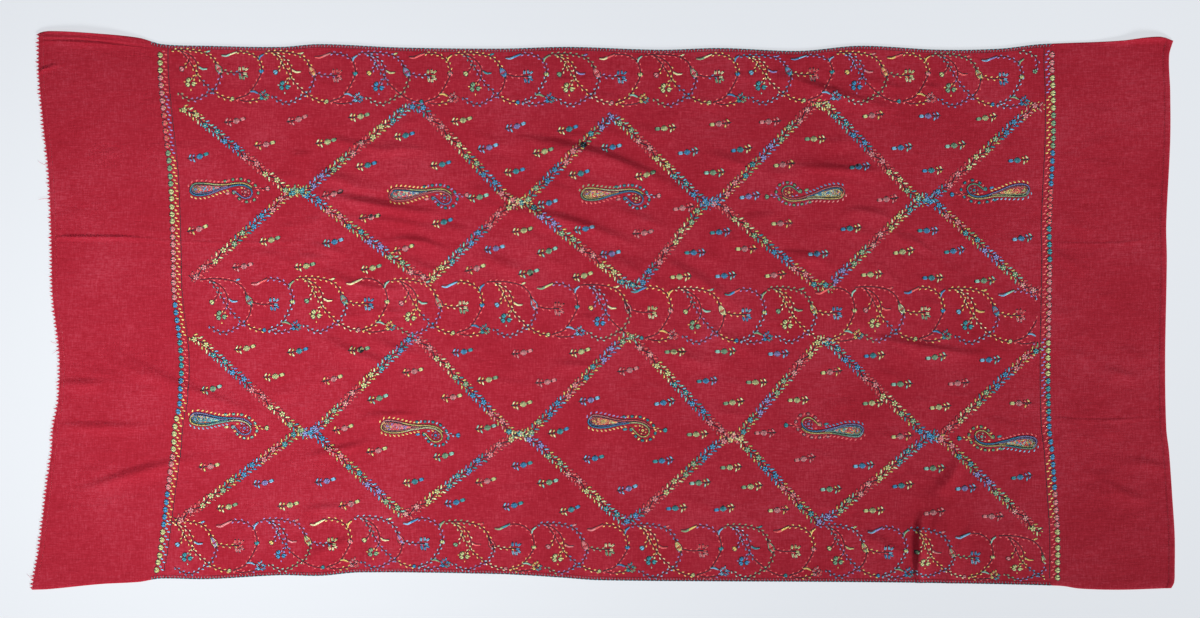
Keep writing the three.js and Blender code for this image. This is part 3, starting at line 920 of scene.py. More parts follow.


# A long slim paisley, from its middle: a round bulb on the left, a thin neck and a hook that curls in.
# One lane of stitches runs along its upper side, the other round the bulb, along below and into the curl.
# The points were read from enlarged paisleys in the photograph.
PAISLEY_UPPER = [
    (-56, 4), (-53, 8.4), (-48, 11), (-38, 11.6), (-26, 11), (-14, 9.6), (-2, 9.2), (8, 9.6), (18, 11),
    (28, 12), (37, 11.7), (45, 9.4), (51.5, 5),
]
PAISLEY_LOWER = [
    (-52, 6.5), (-56, 2), (-56.5, -3), (-53, -7.4), (-46, -9.6), (-36, -9.6), (-26, -8), (-17, -5.2),
    (-8, -1.6), (0, 1.2), (8, 3.6), (16, 6.2), (24, 7.9), (32, 8.4), (40, 7.2), (47.5, 3.6), (52, -2),
    (52, -8.6), (47.5, -13.4), (40.5, -14.8), (34, -12.6), (29, -8.8), (24.5, -5.2), (19.5, -2.6),
]
# The ring of small flowers and seeds round the hook
PAISLEY_RING = [
    (4.6, 15.6), (19, 18.3), (34, 19.2), (47.6, 15.4), (58.5, 7.6), (63.5, -3.4), (60.4, -14), (50, -20.6),
    (36, -20), (25.5, -11.5), (20, -5.5),
]
# The thin lane inside the bulb, and half the width of its fill at places along it
PAISLEY_INNER = [
    (9, 6.8), (-2, 6.2), (-14, 6.2), (-26, 7.4), (-38, 8), (-47, 7.6), (-52, 4), (-53, -1), (-51, -4.4),
    (-46, -6.2), (-36, -6.2), (-26, -4.8), (-17, -2.2), (-8, 1.2), (0, 3.8), (8, 6),
]
PAISLEY_FILL = [(-39, 4.8), (-34, 4.6), (-26, 3.8), (-18, 2.8), (-10, 1.4), (-4, 0.4)]
PAISLEY_EYE = (-46.5, 1.0)
PAISLEY_CURL = (40.8, -3.6)
LANE_WIDTH = 2.9


def lane(needle, points, colours, width=LANE_WIDTH):
    """A band of slanting stitches on a darker one that shows along both of its sides."""
    needle.stem(points, width=width + 1.9)
    places, ways = smooth_path(points, 2.3)
    for n, (spot, way) in enumerate(zip(places, ways)):
        colour = shared(colours, n / len(places))
        needle.slant(spot, heading(way) + 42, width * 1.25, 2.2, colour, height=0.44, raised=0.2)


def ring(needle, middle, radius, count, colours, width=1.8):
    """Stitches end to end round a circle."""
    for k in range(count):
        angle = 360 * k / count
        spot, length = away(middle, angle, radius), 7.6 * radius / count
        needle.slant(spot, angle + 90, length, width, colours[k % len(colours)], raised=0.2)


def paisley(needle, threads):
    """One paisley: its lanes, its fill, its hook, and the seeds along both sides."""
    lane(needle, PAISLEY_INNER, threads["inner"], width=1.7)
    lane(needle, PAISLEY_LOWER, threads["lower"])
    lane(needle, PAISLEY_UPPER, threads["upper"])
    paisley_fill(needle, threads)
    paisley_hook(needle, threads)
    for side, points in ((1, PAISLEY_UPPER[:8]), (-1, PAISLEY_LOWER[3:11])):
        places, ways = smooth_path(points, 7.2)
        for (x, y), (dx, dy) in zip(places, ways):
            angle = heading((dx, dy)) + needle.work.random.uniform(-8, 8)
            spot = (x - dy * 5.2 * side, y + dx * 5.2 * side)
            needle.slant(spot, angle + 40 * side, 5.6, 2.8, threads["seeds"][side < 0], raised=0.1)


def paisley_fill(needle, threads):
    """A ringed eye in the bulb, then small mixed stitches and flowers that end in the neck."""
    wander, pick = needle.work.random.uniform, needle.work.random.choice
    for x in np.arange(-49, -5, 2.5):
        half = float(np.interp(x, *zip(*PAISLEY_FILL)))
        middle = 1 + 0.09 * (x + 40)
        for k in range(-2, 3):
            spot = (x + wander(-0.8, 0.8), middle + k * half / 2)
            needle.slant(spot, wander(-40, 50), 3.6, 2.0, pick(threads["fill"]), raised=0.05)
    for x, y, colour in ((-31.5, 1.6, 0), (-22.5, 2.4, 1), (-15, 3.2, 2)):
        needle.flower((x, y), 4.6, threads["fill"][colour], "slate")
    ring(needle, PAISLEY_EYE, 4.9, 11, ["slate"], width=3.2)
    ring(needle, PAISLEY_EYE, 4.7, 11, [threads["ring"]])
    needle.flower(PAISLEY_EYE, 4.2, threads["eye"], threads["ring"])
    needle.leaf((-42, 5), (-38.5, -3.4), 2.2, threads["ring"], strands=2, rim=0.6)


def paisley_hook(needle, threads):
    """The eye in the curl, the ring of flowers and seeds round the hook, and the stalk beyond it."""
    ring(needle, PAISLEY_CURL, 6.2, 14, ["slate", threads["curl"], "slate"])
    needle.flower(PAISLEY_CURL, 5.0, threads["curl"], "slate", petals=6)
    places, ways = smooth_path(PAISLEY_RING, 7.2)
    for n, (spot, way) in enumerate(zip(places, ways)):
        outward = heading(way) + 90
        if n % 2:
            needle.slant(spot, outward - 20, 5.4, 2.9, threads["between"], raised=0.1)
        else:
            needle.petal(away(spot, outward, -2.6), outward, 5.2, 5.0, threads["flower"])
    needle.slant((27.5, 2.4), 5, 5.4, 2.6, threads["between"], raised=0.1)
    needle.slant((34.5, 3.6), -20, 4.6, 2.6, threads["seeds"][1], raised=0.1)
    needle.leaf((19, -3), (26, -3.5), 2.6, threads["flower"], strands=2, rim=0.6)
    needle.leaf((5, -7.5), (14, -5), 4.0, threads["end"])
    needle.stem([(55, 1.5), (65, 2.2), (76, 2)], width=1.4)
    for u, v, angle in ((60, 4.2, 20), (67, 3.6, 12), (72, -0.6, -30), (64, -1.4, -20)):
        needle.slant((u, v), angle, 4.6, 2.5, threads["between"], raised=0.1)
    needle.petal((76, 2), 2, 8.6, 7.6, threads["end"])


# Each paisley's threads: the two lanes, the bulb's ring and eye, its fill, the seeds above and below,
# the flowers and seeds round the hook, the curl's eye, and the flower at the end of the stalk
PAISLEY_THREADS = [
    dict(upper=["green", "lime", "gold", "gold"], lower=["blue", "violet", "blue", "violet"],
         inner=["coral", "violet"], ring="gold", eye="blue",
         fill=["sky", "coral", "teal", "coral", "pink"], seeds=("coral", "gold"), flower="green",
         between="coral", curl="pink", end="pink"),
    dict(upper=["coral", "lime", "gold"], lower=["coral", "coral", "pink", "violet"],
         inner=["blue", "pink"], ring="mint", eye="coral",
         fill=["mint", "coral", "blue", "cream", "coral"], seeds=("gold", "gold"), flower="teal",
         between="violet", curl="blue", end="pink"),
    dict(upper=["gold", "cream", "gold"], lower=["green", "blue", "blue", "violet"],
         inner=["coral", "gold"], ring="gold", eye="violet",
         fill=["lime", "gold", "coral", "violet", "gold"], seeds=("green", "coral"), flower="teal",
         between="sky", curl="lime", end="pink"),
    dict(upper=["gold", "cream", "gold"], lower=["coral", "coral", "coral", "green"],
         inner=["gold", "blue"], ring="gold", eye="coral",
         fill=["mint", "cream", "blue", "green", "gold"], seeds=("pink", "blue"), flower="green",
         between="violet", curl="gold", end="green"),
    dict(upper=["green", "lime", "gold", "gold"], lower=["violet", "violet", "blue", "green"],
         inner=["lime", "coral"], ring="coral", eye="green",
         fill=["coral", "gold", "lime", "gold", "coral"], seeds=("sky", "gold"), flower="teal",
         between="coral", curl="teal", end="blue"),
    dict(upper=["violet", "blue", "violet"], lower=["gold", "mint", "cream", "violet"],
         inner=["violet", "teal"], ring="teal", eye="blue",
         fill=["teal", "sky", "mint", "gold", "teal"], seeds=("gold", "sky"), flower="mint",
         between="gold", curl="violet", end="lime"),
    dict(upper=["pink", "gold", "gold"], lower=["gold", "cream", "gold"], inner=["coral", "pink"],
         ring="gold", eye="violet", fill=["coral", "pink", "violet", "pink", "coral"],
         seeds=("gold", "gold"), flower="teal", between="sky", curl="blue", end="blue"),
    dict(upper=["pink", "coral", "coral"], lower=["blue", "blue", "lime", "gold"],
         inner=["coral", "violet"], ring="coral", eye="gold",
         fill=["gold", "coral", "lime", "coral", "gold"], seeds=("violet", "gold"), flower="teal",
         between="gold", curl="gold", end="teal"),
    dict(upper=["mint", "green", "gold", "gold"], lower=["violet", "violet", "blue", "gold"],
         inner=["mint", "sky"], ring="gold", eye="blue",
         fill=["coral", "mint", "teal", "gold", "coral"], seeds=("coral", "blue"), flower="pink",
         between="coral", curl="violet", end="teal"),
    dict(upper=["green", "teal", "gold", "gold"], lower=["violet", "blue", "blue", "gold"],
         inner=["gold", "violet"], ring="gold", eye="coral",
         fill=["coral", "sky", "mint", "gold", "coral"], seeds=("sky", "coral"), flower="green",
         between="gold", curl="mint", end="teal"),
]

SPRIG_SEED = 71
PAISLEY_SEED = 37
# Sprigs: (flower, bud, leaf, seed) threads
SPRIG_THREADS = [
    ("blue", "sky", "mint", "sky"), ("lime", "lime", "cream", "gold"), ("pink", "pink", "pink", "coral"),
    ("teal", "blue", "cream", "gold"), ("lime", "green", "cream", "gold"), ("violet", "sky", "sky", "violet"),
    ("green", "mint", "mint", "gold"), ("pink", "lime", "gold", "coral"), ("blue", "teal", "sky", "violet"),
]


def sprig(needle, threads, bud_lean):
    """A small sprig: a bud before a round flower on a short stem, and two pairs of leaves at its foot."""
    flower, bud, leaf, seed = threads
    needle.stem([(-20, -0.6), (-12, -0.6), (8, 0.6)], width=2.0)
    needle.dot((0, 0), 13.4, "slate", height=0.36)
    needle.slant((0, 0), 90, 13.4, 11.5, "slate", height=0.36)
    for n in range(-2, 3):
        half = math.sqrt(5.6**2 - (n * 2.25) ** 2)
        needle.stitch((n * 2.25 - 0.5, -half), (n * 2.25 + 0.5, half), 2.2, flower, height=0.42, raised=0.25)
    needle.bud((11.6, bud_lean), 11.4, 6.4, 6 * bud_lean, bud)
    needle.leaf((-12.6, 0.4), (-8.6, 5.4), 2.3, seed)
    needle.leaf((-12.6, -1.6), (-9.8, -9.4), 2.7, leaf)
    needle.leaf((-19.4, 0.4), (-14.2, 6.8), 2.7, leaf)
    needle.leaf((-18.8, -1.8), (-14.4, -6.2), 2.4, seed)


# ---------------------------------------------------------------------------------------------
# The layout of the embroidery

# The vines' drop-shaped leaves: x, y, then the threads of the vine's seeds, the leaf, the long curved
# leaf over it, the small one behind it and the branch's seeds
VINE_PITCH = 168
BACK_VINE = [
    (-679, 430, "gold", "green pink", "mint cream", "mint", "green blue"),
    (-513, 425, "gold", "coral gold", "coral pink", "cream", "violet"),
    (-346, 424, "violet", "teal violet", "coral", "lime", "violet sky"),
    (-175, 423, "gold", "blue blue", "sky blue", "teal", "coral"),
    (-9, 422, "green", "coral pink", "cream coral", "violet", "violet sky"),
    (163, 422, "coral", "green pink", "green cream", "cream", "coral blue"),
    (331, 426, "blue violet", "teal blue", "blue sky", "violet", "lime gold"),
    (501, 425, "gold", "coral gold", "gold coral", "pink", "green gold"),
    (668, 420, "green", "gold green", "sky violet", "coral", "gold"),
]
# The back vine's last small branch, which ends in a flower by the right border
BACK_LAST_BRANCH = [(742, 459), (757, 457), (768, 450), (773, 438), (768, 424)]
MIDDLE_VINE = [
    (-625, 19, "coral", "green teal", "pink coral", "sky", "coral"),
    (-457, 20, "gold", "teal green", "cream", "cream", "gold"),
    (-289, 15, "gold", "coral green", "sky", "mint", "gold cream"),
    (-120, 12, "coral", "sky coral", "green lime", "cream", "coral"),
    (46, 6, "coral gold", "pink slate", "teal blue", "cream", "coral"),
    (213, 1, "cream gold", "cream lime", "teal blue coral", "mint", "gold"),
    (375, 3, "green", "gold green", "coral", "green", "gold cream"),
    (531, 4, "coral", "cream green", "blue coral", "coral", "gold"),
    (698, 0, "gold", "blue teal", "sky mint", "gold", "gold"),
]
FRONT_VINE = [
    (-687, -410, "gold", "lime violet", "pink", "sky", "gold"),
    (-521, -407, "violet", "gold green", "cream", "pink", "violet sky"),
    (-357, -405, "sky", "coral violet", "sky blue", "cream", "sky violet"),
    (-195, -414, "green gold", "coral slate", "green teal", "coral", "cream gold"),
    (-30, -416, "blue", "coral pink", "pink coral", "pink", "green"),
    (136, -418, "blue", "lime gold", "green gold", "coral", "coral"),
    (300, -419, "green", "green coral", "coral gold", "teal", "coral"),
    (466, -420, "blue sky", "gold green", "sky violet", "lime", "gold coral"),
    (620, -429, "blue", "coral green", "sky", "pink", "green"),
    (785, -442, "coral", "lime green", "coral", "gold", "gold"),
]

# Lattice corners along the shawl: the high ones, the crossings between and the low ones
BACK_LATTICE = dict(
    high=[(-747, 357), (-331, 361), (20, 338), (387, 364), (774, 359)],
    crossings=[(-540, 210), (-148, 192), (192, 191), (572, 196)],
    low=[(-730, 61), (-308, 59), (59, 45), (393, 45), (772, 36)],
)
FRONT_LATTICE = dict(
    high=[(-730, -49), (-331, -54), (47, -52), (393, -58), (777, -70)],
    crossings=[(-522, -215), (-143, -221), (231, -224), (590, -224)],
    low=[(-756, -368), (-348, -357), (45, -371), (387, -371), (781, -389)],
)
# x, y and turn of each paisley, in the order of their threads
PAISLEYS = [
    (-672, 214, 0), (-319, 204, -1), (21, 204, -2), (373, 208, 183), (701, 212, 183),
    (-673, -199, -8), (-334, -212, -8), (33, -203, -8), (407, -208, 175), (714, -230, 176),
]
SPRIGS_TURNED_FROM_X = 85


def between(a, b, share):
    """The place at a share of the way from one place to another."""
    return a[0] + (b[0] - a[0]) * share, a[1] + (b[1] - a[1]) * share


def triangle_sprigs(left, right, tip):
    """Three, two and one sprigs in rows from a triangle's long side towards its tip."""
    spots = []
    for depth, shares in ((0.12, (0.2, 0.5, 0.8)), (0.42, (0.27, 0.72)), (0.66, (0.52,))):
        a, b = between(left, tip, depth), between(right, tip, depth)
        spots += [between(a, b, share) for share in shares]
    return spots


def diamond_sprigs(left, right, top, bottom):
    """Eight sprigs round a diamond's paisley."""
    middle = ((left[0] + right[0]) / 2, (top[1] + bottom[1]) / 2)
    wide, tall = (right[0] - left[0]) / 2, (top[1] - bottom[1]) / 2
    shares = [
        (0, 0.65), (-0.33, 0.34), (0.35, 0.32), (-0.66, 0), (0.68, -0.04), (-0.31, -0.3), (0.3, -0.36),
        (0, -0.64),
    ]
    return [(middle[0] + u * wide, middle[1] + v * tall) for u, v in shares]


def lattice_sprigs(plan):
    """The sprigs of one lattice: in its triangles, round its paisleys and at its two ends."""
    high, crossings, low = plan["high"], plan["crossings"], plan["low"]
    spots = []
    for n, crossing in enumerate(crossings):
        for row in (high, low):
            in_triangle = triangle_sprigs(row[n], row[n + 1], crossing)
            spots += in_triangle if n else in_triangle[:-1]
    for n in range(len(crossings) - 1):
        spots += diamond_sprigs(crossings[n], crossings[n + 1], high[n + 1], low[n + 1])
    for corner, crossing in ((0, crossings[0]), (-1, crossings[-1])):
        middle_y = (high[corner][1] + low[corner][1]) / 2
        tall = (high[corner][1] - low[corner][1]) / 2
        x = between(high[corner], crossing, 0.18)[0]
        spots += [(x, middle_y + 0.43 * tall), (x, middle_y - 0.41 * tall)]
    return spots


def sprigs():
    """All the sprigs, turned the other way past the shawl's middle."""
    work = Threadwork(SPRIG_SEED)
    for plan in (BACK_LATTICE, FRONT_LATTICE):
        for x, y in lattice_sprigs(plan):
            turned = x > SPRIGS_TURNED_FROM_X
            tilt = work.random.uniform(2, 12)
            spot = (x + work.random.uniform(-7, 7), y + work.random.uniform(-4, 4))
            needle = Needle(work, *spot, tilt, along=-1 if turned else 1)
            sprig(needle, work.random.choice(SPRIG_THREADS), 0.3 if turned else 2.2)
    return work.piece("embroidered_sprigs")


def paisleys():
    """All the paisleys, each in its own threads."""
    work = Threadwork(PAISLEY_SEED)
    for place, threads in zip(PAISLEYS, PAISLEY_THREADS):
        paisley(Needle(work, *place), threads)
    return work.piece("embroidered_paisleys")


# End borders: how far each column stands in from its end, and the pitch of its flowers
LEFT_BORDER_IN = 222
RIGHT_BORDER_IN = 208
END_BORDER_PITCH = 13.3
FLOWERS_A_COLOUR = 5
SEEDS_A_COLOUR = 8
# Thread colours down each end border, from the back
LEFT_RUNS = dict(
    flowers="lime pink coral green lime pink pink blue teal blue lime pink blue lime lime",
    seeds="coral violet gold gold gold coral gold gold sky gold",
)
RIGHT_RUNS = dict(
    flowers="pink lime green blue coral teal pink pink lime teal blue blue pink lime lime",
    seeds="violet gold coral coral coral violet coral gold coral sky",
)


def end_border(name, end, inward, reach, runs, seed):
    """A column of flowers with two rows of seeds and a dark line on the side of the field."""
    work = Threadwork(seed)
    low, high = FRONT_EDGE[0][1] + 8, BACK_EDGE[0][1] - 10
    count = int((high - low) / END_BORDER_PITCH)
    for n in range(count + 1):
        y = high - n * (high - low) / count
        x = float(through(end, np.array([y]))[0]) + reach * inward
        on_cloth = through(FRONT_EDGE, np.array([x]))[0] + 7 < y < through(BACK_EDGE, np.array([x]))[0] - 7
        if not on_cloth:
            continue
        needle = Needle(work, x, y, 0, along=inward)
        run = runs["flowers"].split()[n // FLOWERS_A_COLOUR]
        needle.petal((4.6, 0), 180 + work.random.uniform(-9, 9), 10.0, 10.4, run)
        for angle in (142, -142):
            needle.slant((2.0, math.copysign(1.7, angle)), angle, 5.4, 1.1, "slate", height=0.4, raised=0.4)
        needle.dot((3.6, 0), 2.6, "gold", raised=0.45)
        seeds = runs["seeds"].split()[n // SEEDS_A_COLOUR]
        for u, v, angle in ((6.4, END_BORDER_PITCH / 2, -22), (9.8, 0.8, -16)):
            needle.slant((u, v), angle, 6.8, 4.4, "slate", height=0.3)
            needle.slant((u, v), angle, 6.0, 3.3, seeds, raised=0.1)
        for step in range(4):
            needle.slant((13.8, step * END_BORDER_PITCH / 4), 90, 4.0, 2.2, "slate", height=0.4)
    return work.piece(name)


# ---------------------------------------------------------------------------------------------
# Edges


EDGING_SEED = 5
EDGING_PITCH = 2.6
# How far in from the rim the chained line, the wraps' ends and the inner line lie
EDGING_RIM = 0.7
EDGING_WRAP = 5.4
EDGING_INNER = 5.6


def overcast_edge(name, edge, outward, nodes_name):
    """Thread wrapped over a long edge, with a chained line along its rim and one inside it."""
    work = Threadwork(EDGING_SEED)
    for n in range(int((EDGING_TO_X - EDGING_FROM_X) / EDGING_PITCH)):
        x = EDGING_FROM_X + n * EDGING_PITCH
        past = x + EDGING_PITCH
        y = float(through(edge, np.array([x]))[0])
        slope = float(through(edge, np.array([x + 2.0]))[0]) - y
        rim = y - EDGING_RIM * outward
        colour = "slate" if n % 3 else "teal"
        work.stitch((x - 0.2, rim), (past + 0.9, rim + slope * 1.2), 2.2, colour, height=0.8)
        if n % 2 == 0:
            work.stitch((x, rim), (x - 0.7, y - EDGING_WRAP * outward), 1.3, "teal", height=0.38)
        inner = y - EDGING_INNER * outward
        work.stitch((x - 0.4, inner), (past + 0.4, inner + slope * 1.2), 0.9, "slate", height=0.4)
    piece = work.piece(name, slot="edging_thread")
    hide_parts(nodes_name)
    return piece


def only_used(points, faces):
    """The points that some face uses, with the faces' numbers to match."""
    used = np.unique(np.concatenate([np.asarray(face) for face in faces]))
    number = np.full(len(points), -1)
    number[used] = np.arange(len(used))
    return points[used], [number[face].tolist() for face in faces]


def quads(a, b, c, d):
    """Four-sided faces from four grids of point numbers."""
    return np.stack([a, b, c, d], axis=-1).reshape(-1, 4).tolist()


UNDER_BLOCK = 4
UNDER_FLAT = 0.9


def underside(under, index):
    """The cloth's hidden side, in larger cells wherever it is nearly flat.

    A larger cell keeps the finer points along any edge that it shares with small cells or the rim.
    """
    columns, rows = under.shape
    starts_x = list(range(0, columns - 1, UNDER_BLOCK))
    starts_y = list(range(0, rows - 1, UNDER_BLOCK))

    def is_flat(i, j):
        if not (0 <= i < len(starts_x) and 0 <= j < len(starts_y)):
            return False
        x, y = starts_x[i], starts_y[j]
        block = under[x:x + UNDER_BLOCK + 1, y:y + UNDER_BLOCK + 1]
        return np.ptp(block) < UNDER_FLAT

    flat = {(i, j): is_flat(i, j) for i in range(-1, len(starts_x) + 1) for j in range(-1, len(starts_y) + 1)}
    faces = []
    for i, x in enumerate(starts_x):
        for j, y in enumerate(starts_y):
            end_x, end_y = min(x + UNDER_BLOCK, columns - 1), min(y + UNDER_BLOCK, rows - 1)
            cell = index[x:end_x + 1, y:end_y + 1]
            if not flat[i, j]:
                faces += quads(cell[:-1, :-1], cell[:-1, 1:], cell[1:, 1:], cell[1:, :-1])
                continue
            ring = []
            for side, joined in (
                (cell[0, :], flat[i - 1, j]), (cell[:, -1], flat[i, j + 1]),
                (cell[-1, ::-1], flat[i + 1, j]), (cell[::-1, 0], flat[i, j - 1]),
            ):
                ring += [int(side[0])] if joined else [int(v) for v in side[:-1]]
            faces.append(ring)
    return faces


def plain_cloth(material):
    """The cloth itself: a closed thin shell on its solid's form."""
    columns, rows = CLOTH.x.shape
    upper = np.stack([CLOTH.x, CLOTH.y, CLOTH.top], axis=2).reshape(-1, 3)
    lower = np.stack([CLOTH.x, CLOTH.y, CLOTH.under], axis=2).reshape(-1, 3)
    index = np.arange(columns * rows).reshape(columns, rows)
    under = index + columns * rows
    faces = quads(index[:-1, :-1], index[1:, :-1], index[1:, 1:], index[:-1, 1:])
    faces += underside(CLOTH.under, under)
    faces += quads(under[:-1, 0], under[1:, 0], index[1:, 0], index[:-1, 0])
    faces += quads(under[1:, -1], under[:-1, -1], index[:-1, -1], index[1:, -1])
    faces += quads(under[0, 1:], under[0, :-1], index[0, :-1], index[0, 1:])
    faces += quads(under[-1, :-1], under[-1, 1:], index[-1, 1:], index[-1, :-1])
    piece = make_piece("wool_cloth", *only_used(np.vstack([upper, lower]), faces), [material])
    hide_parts("cloth")
    return piece


YARN_SEED = 3
LOCK_COUNT = 143
YARNS_A_LOCK = 5
YARN_PITCH = 1.3
LOCK_TAPER = 0.24
# A yarn end's half thickness along its length, as (share of the length, millimetres)
YARN_TAPER = [(0, 0.76), (0.5, 0.74), (0.85, 0.55), (1, 0.22)]
# Stray yarns that hang out further: the share across, how far out, and how far to the side
STRAY_YARNS = [(0.762, 19, 9), (0.703, 21, -2), (0.442, 15, 4), (0.43, 12, -6), (0.02, 13, 9)]
STRAY_THICKNESS = 0.4
STRIP_ROWS = 320
# The strip's section from its outer edge in: how far from that edge, and how far below its face
STRIP_SECTION = [(0.0, 0.55), (0.9, 0.1), (ROOT_STRIP_WIDTH - 0.4, 0.0), (ROOT_STRIP_WIDTH + 0.25, 0.12)]


def frayed_strip():
    """The woven strip past the drawn line, as points and faces."""
    rings = []
    for offset, drop in [*STRIP_SECTION, (STRIP_SECTION[-1][0], WALL), (0.0, WALL)]:
        x, y = laid(np.full(STRIP_ROWS, (LOCK_LENGTH + offset) / CUT_LENGTH), np.linspace(0, 1, STRIP_ROWS))
        rings.append(np.stack([x, y, lift(x, y) + WALL - drop], axis=1))
    around = len(rings)
    faces = []
    for row in range(STRIP_ROWS - 1):
        first, following = around * row, around * (row + 1)
        for k in range(around):
            other = (k + 1) % around
            faces.append((first + k, first + other, following + other, following + k))
    faces.append(tuple(range(around))[::-1])
    faces.append(tuple(around * (STRIP_ROWS - 1) + k for k in range(around)))
    return np.stack(rings, axis=1).reshape(-1, 3).tolist(), faces


def yarn_ends(rng):
    """Each yarn end's share across the shawl, length, lean and thickness, in locks that end in a point."""
    rows = []
    for lock in range(LOCK_COUNT):
        reach = LOCK_LENGTH * rng.uniform(0.72, 1.12)
        side = rng.uniform(-1.0, 1.0)
        for yarn in range(YARNS_A_LOCK):
            off = (yarn - YARNS_A_LOCK // 2) * YARN_PITCH + rng.uniform(-0.3, 0.3)
            long = reach * rng.uniform(0.88, 1.0) * (1 - LOCK_TAPER * abs(off))
            lean = side + rng.uniform(-0.6, 0.6) - off * 0.75
            rows.append(((lock + 0.5) / LOCK_COUNT + off / CUT_WIDTH, long, lean, 1.0))
    return rows + [(*row, STRAY_THICKNESS) for row in STRAY_YARNS]


def add_yarns(points, faces, rng):
    """Yarn ends that stand out of the strip, each a four-sided tapered strand in three lengths."""
    rows = yarn_ends(rng)
    across = np.array([row[0] for row in rows])
    root_x, root_y = laid(np.full(len(rows), (LOCK_LENGTH + 0.8) / CUT_LENGTH), across)
    root_z = lift(root_x, root_y) + 0.8
    for (_, long, lean, thickness), x0, y0, z0 in zip(rows, root_x, root_y, root_z):
        first = len(points)
        rise = rng.uniform(-0.45, 0.25)
        for way, half in YARN_TAPER:
            half = half * thickness
            x, y, z = x0 - (long + 0.8) * way, y0 + lean * way * way, z0 + rise * way
            points.extend([(x, y - half, z), (x, y, z + half), (x, y + half, z), (x, y, z - half)])
        for ring in range(len(YARN_TAPER) - 1):
            for k in range(4):
                a, b = first + 4 * ring + k, first + 4 * ring + (k + 1) % 4
                faces.append((a, b, b + 4, a + 4))
        faces.append((first + 3, first + 2, first + 1, first))
        faces.append(tuple(len(points) - 4 + k for k in range(4)))


def frayed_end(cloth_material, yarn_material):
    """The strip past the drawn line, and the short locks of yarn ends that stand out of it."""
    points, faces = frayed_strip()
    strip_faces = len(faces)
    add_yarns(points, faces, random.Random(YARN_SEED))
    slots = [0] * strip_faces + [1] * (len(faces) - strip_faces)
    piece = make_piece("frayed_end", points, faces, [cloth_material, yarn_material], slots)
    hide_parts("fringe_left")
    return piece


PLAIN_STITCH_SEED = 9
DRAWN_STITCHES = 300
HEM_STITCHES = 240


def plain_stitch_lines():
    """The drawn line inside the frayed end, and the running stitches of the right hem."""
    work = Threadwork(PLAIN_STITCH_SEED)
    inset = LOCK_LENGTH + ROOT_STRIP_WIDTH + 0.15
    for n in range(DRAWN_STITCHES):
        t = (n + 0.5) / DRAWN_STITCHES
        x, y = (float(v) for v in laid(inset / CUT_LENGTH, t))
        work.stitch((x, y - 1.1), (x + 0.2, y + 1.1), 0.8, "red", height=0.2, deep=n % 2 == 0)
    for n in range(HEM_STITCHES):
        t = (n + 0.5) / HEM_STITCHES
        x, y = (float(v) for v in laid(1 - (HEM_WIDTH + 0.9) / CUT_LENGTH, t))
        work.stitch((x, y - 1.1), (x, y + 1.1), 0.9, "red", height=0.3, deep=True)
    return work.piece("hem_and_drawn_stitches")


# ---------------------------------------------------------------------------------------------
# Materials


def wool_material(name, colour, lighter, darker):
    """Fine plain-woven wool: two sets of uneven yarns, a soft nap, and slow changes of dye."""
    shading = Shading(name, {
        "Roughness": 0.9,
        "Specular IOR Level": 0.2,
        "Sheen Weight": 0.25,
        "Sheen Roughness": 0.55,
        "Sheen Tint": linear((255, 150, 150)),
    })
    noise, maths = shading.noise, shading.maths
    slubs = maths("ADD", noise(620, 3, (0.07, 1.0, 1.0)), noise(560, 3, (1.0, 0.1, 1.0)))
    nap = noise(380, 3, (0.6, 1.0, 1.0))
    dye = noise(7, 4)
    flecks = maths("ADD", maths("MULTIPLY", slubs, 0.26), maths("MULTIPLY", nap, 0.24))
    tone = maths("ADD", flecks, maths("MULTIPLY", dye, 0.24))
    yarns = shading.bump(maths("ADD", slubs, noise(900, 2)), 0.5, 0.0004)
    ripple = shading.bump(noise(38, 4, (0.7, 1.6, 1.0)), 0.7, 0.0016, Normal=yarns)
    dyed = tone_ramp(shading, tone, ((0.36, darker), (0.5, colour), (0.64, lighter)))
    shading.fill(shading.shader, {"Base Color": dyed, "Normal": ripple})
    return shading.material


def tone_ramp(shading, tone, stops):
    """A tone turned into a colour, by stops of a place on the ramp and a colour there."""
    ramp = shading.nodes.new("ShaderNodeValToRGB")
    shading.fill(ramp, {"Fac": tone})
    first, *between_ends, last = stops
    elements = ramp.color_ramp.elements
    for element, (place, colour) in zip(elements, (first, last)):
        element.position = place
        element.color = linear(colour)
    for place, colour in between_ends:
        elements.new(place).color = linear(colour)
    return ramp.outputs["Color"]


def floor_material():
    """A plain pale floor that gives back an even light, as a bright studio sweep does."""
    shading = Shading("pale_floor", {
        "Base Color": linear((140, 143, 146)),
        "Roughness": 0.75,
        "Emission Color": linear((236, 240, 246)),
        "Emission Strength": 0.67,
    })
    return shading.material


# ---------------------------------------------------------------------------------------------
# Stage, camera and light

# Lengths are in metres here, lens and sensor in millimetres, and angles in degrees
CAMERA_HEIGHT = 2.955
CAMERA_CENTRE = (-0.0027, 0.0027)
LENS = 50
SENSOR = 36
FLOOR_HALF = 14.0
FLOOR_DROP = 0.0006
SUN_AZIMUTH = -60
SUN_ELEVATION = 22
SUN_POWER = 3.1
SUN_WIDTH = 13
# Soft spots: name, place, power, cone. The powers were fitted to the photograph's brightness.
SPOTS = [
    ("over_left", (-0.68, -0.2, 4.2), 545, 29),
    ("over_right", (0.88, 0.22, 4.2), 225, 32),
]
SPOT_SIZE = 0.6
WORLD_COLOUR = (0.92, 0.96, 1.0, 1)
WORLD_STRENGTH = 0.11


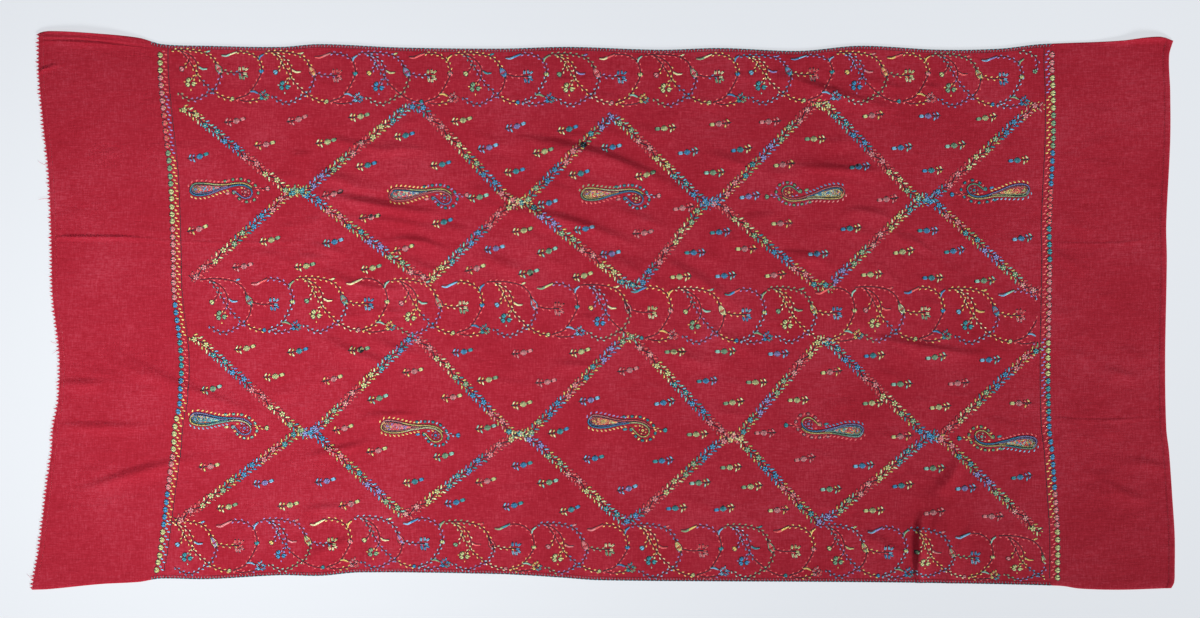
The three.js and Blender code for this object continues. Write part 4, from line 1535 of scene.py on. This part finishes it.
def add_floor():
    """The floor that the shawl lies on, just below its underside."""
    mesh = bpy.data.meshes.new("floor")
    corners = [(x * FLOOR_HALF, y * FLOOR_HALF, 0) for x, y in ((-1, -1), (1, -1), (1, 1), (-1, 1))]
    mesh.from_pydata(corners, [], [(0, 1, 2, 3)])
    mesh.materials.append(floor_material())
    floor = bpy.data.objects.new("floor", mesh)
    floor.location.z = -FLOOR_DROP
    bpy.context.scene.collection.objects.link(floor)
    return floor


def add_camera():
    """The camera, straight above and looking down."""
    data = bpy.data.cameras.new("camera")
    data.lens = LENS
    data.sensor_width = SENSOR
    camera = bpy.data.objects.new("camera", data)
    camera.location = (*CAMERA_CENTRE, CAMERA_HEIGHT)
    bpy.context.scene.collection.objects.link(camera)
    bpy.context.scene.camera = camera


def add_light(name, kind, place, turn, power):
    """Adds a light, and gives its data back for its softness to be set."""
    data = bpy.data.lights.new(name, kind)
    data.energy = power
    light = bpy.data.objects.new(name, data)
    light.location = place
    light.rotation_euler = turn
    bpy.context.scene.collection.objects.link(light)
    return data


def add_lights():
    """A low soft light from the front right shows the folds, and soft spots hang over both ends."""
    turn = (math.radians(90 - SUN_ELEVATION), 0, math.radians(SUN_AZIMUTH + 90))
    sun = add_light("low_front_right", "SUN", (1.5, -2.5, 1.0), turn, SUN_POWER)
    sun.angle = math.radians(SUN_WIDTH)
    for name, place, power, cone in SPOTS:
        spot = add_light(name, "SPOT", place, (0, 0, 0), power)
        spot.shadow_soft_size = SPOT_SIZE
        spot.spot_size = math.radians(cone)
        spot.spot_blend = 1.0
    world = bpy.data.worlds.new("studio")
    world.use_nodes = True
    background = world.node_tree.nodes["Background"]
    background.inputs["Color"].default_value = WORLD_COLOUR
    background.inputs["Strength"].default_value = WORLD_STRENGTH
    bpy.context.scene.world = world
    bpy.context.scene.view_settings.view_transform = "Standard"


# ---------------------------------------------------------------------------------------------
# Put together

add_camera()
add_lights()
floor = add_floor()

wool = wool_material("red_wool", colour=(171, 30, 51), lighter=(190, 61, 80), darker=(154, 13, 34))
yarn = wool_material("frayed_wool", colour=(206, 66, 88), lighter=(222, 88, 108), darker=(184, 48, 68))

cloth = plain_cloth(wool)
fringe = frayed_end(wool, yarn)
on_cloth = [
    fringe,
    overcast_edge("overcast_back_edge", BACK_EDGE, 1, "edging_back"),
    overcast_edge("overcast_front_edge", FRONT_EDGE, -1, "edging_front"),
    vine_border("embroidered_back_vine", BACK_VINE, 0, from_x=-768, to_x=778, last_branch=BACK_LAST_BRANCH),
    vine_border("embroidered_middle_vine", MIDDLE_VINE, 1, from_x=-735, to_x=772),
    vine_border("embroidered_front_vine", FRONT_VINE, 2, from_x=-772, to_x=788),
    lattice("embroidered_back_lattice", **BACK_LATTICE, seed=21),
    lattice("embroidered_front_lattice", **FRONT_LATTICE, seed=22),
    paisleys(),
    sprigs(),
    end_border("embroidered_left_border", LEFT_END, 1, LEFT_BORDER_IN, LEFT_RUNS, seed=0),
    end_border("embroidered_right_border", RIGHT_END, -1, RIGHT_BORDER_IN, RIGHT_RUNS, seed=3),
    plain_stitch_lines(),
]
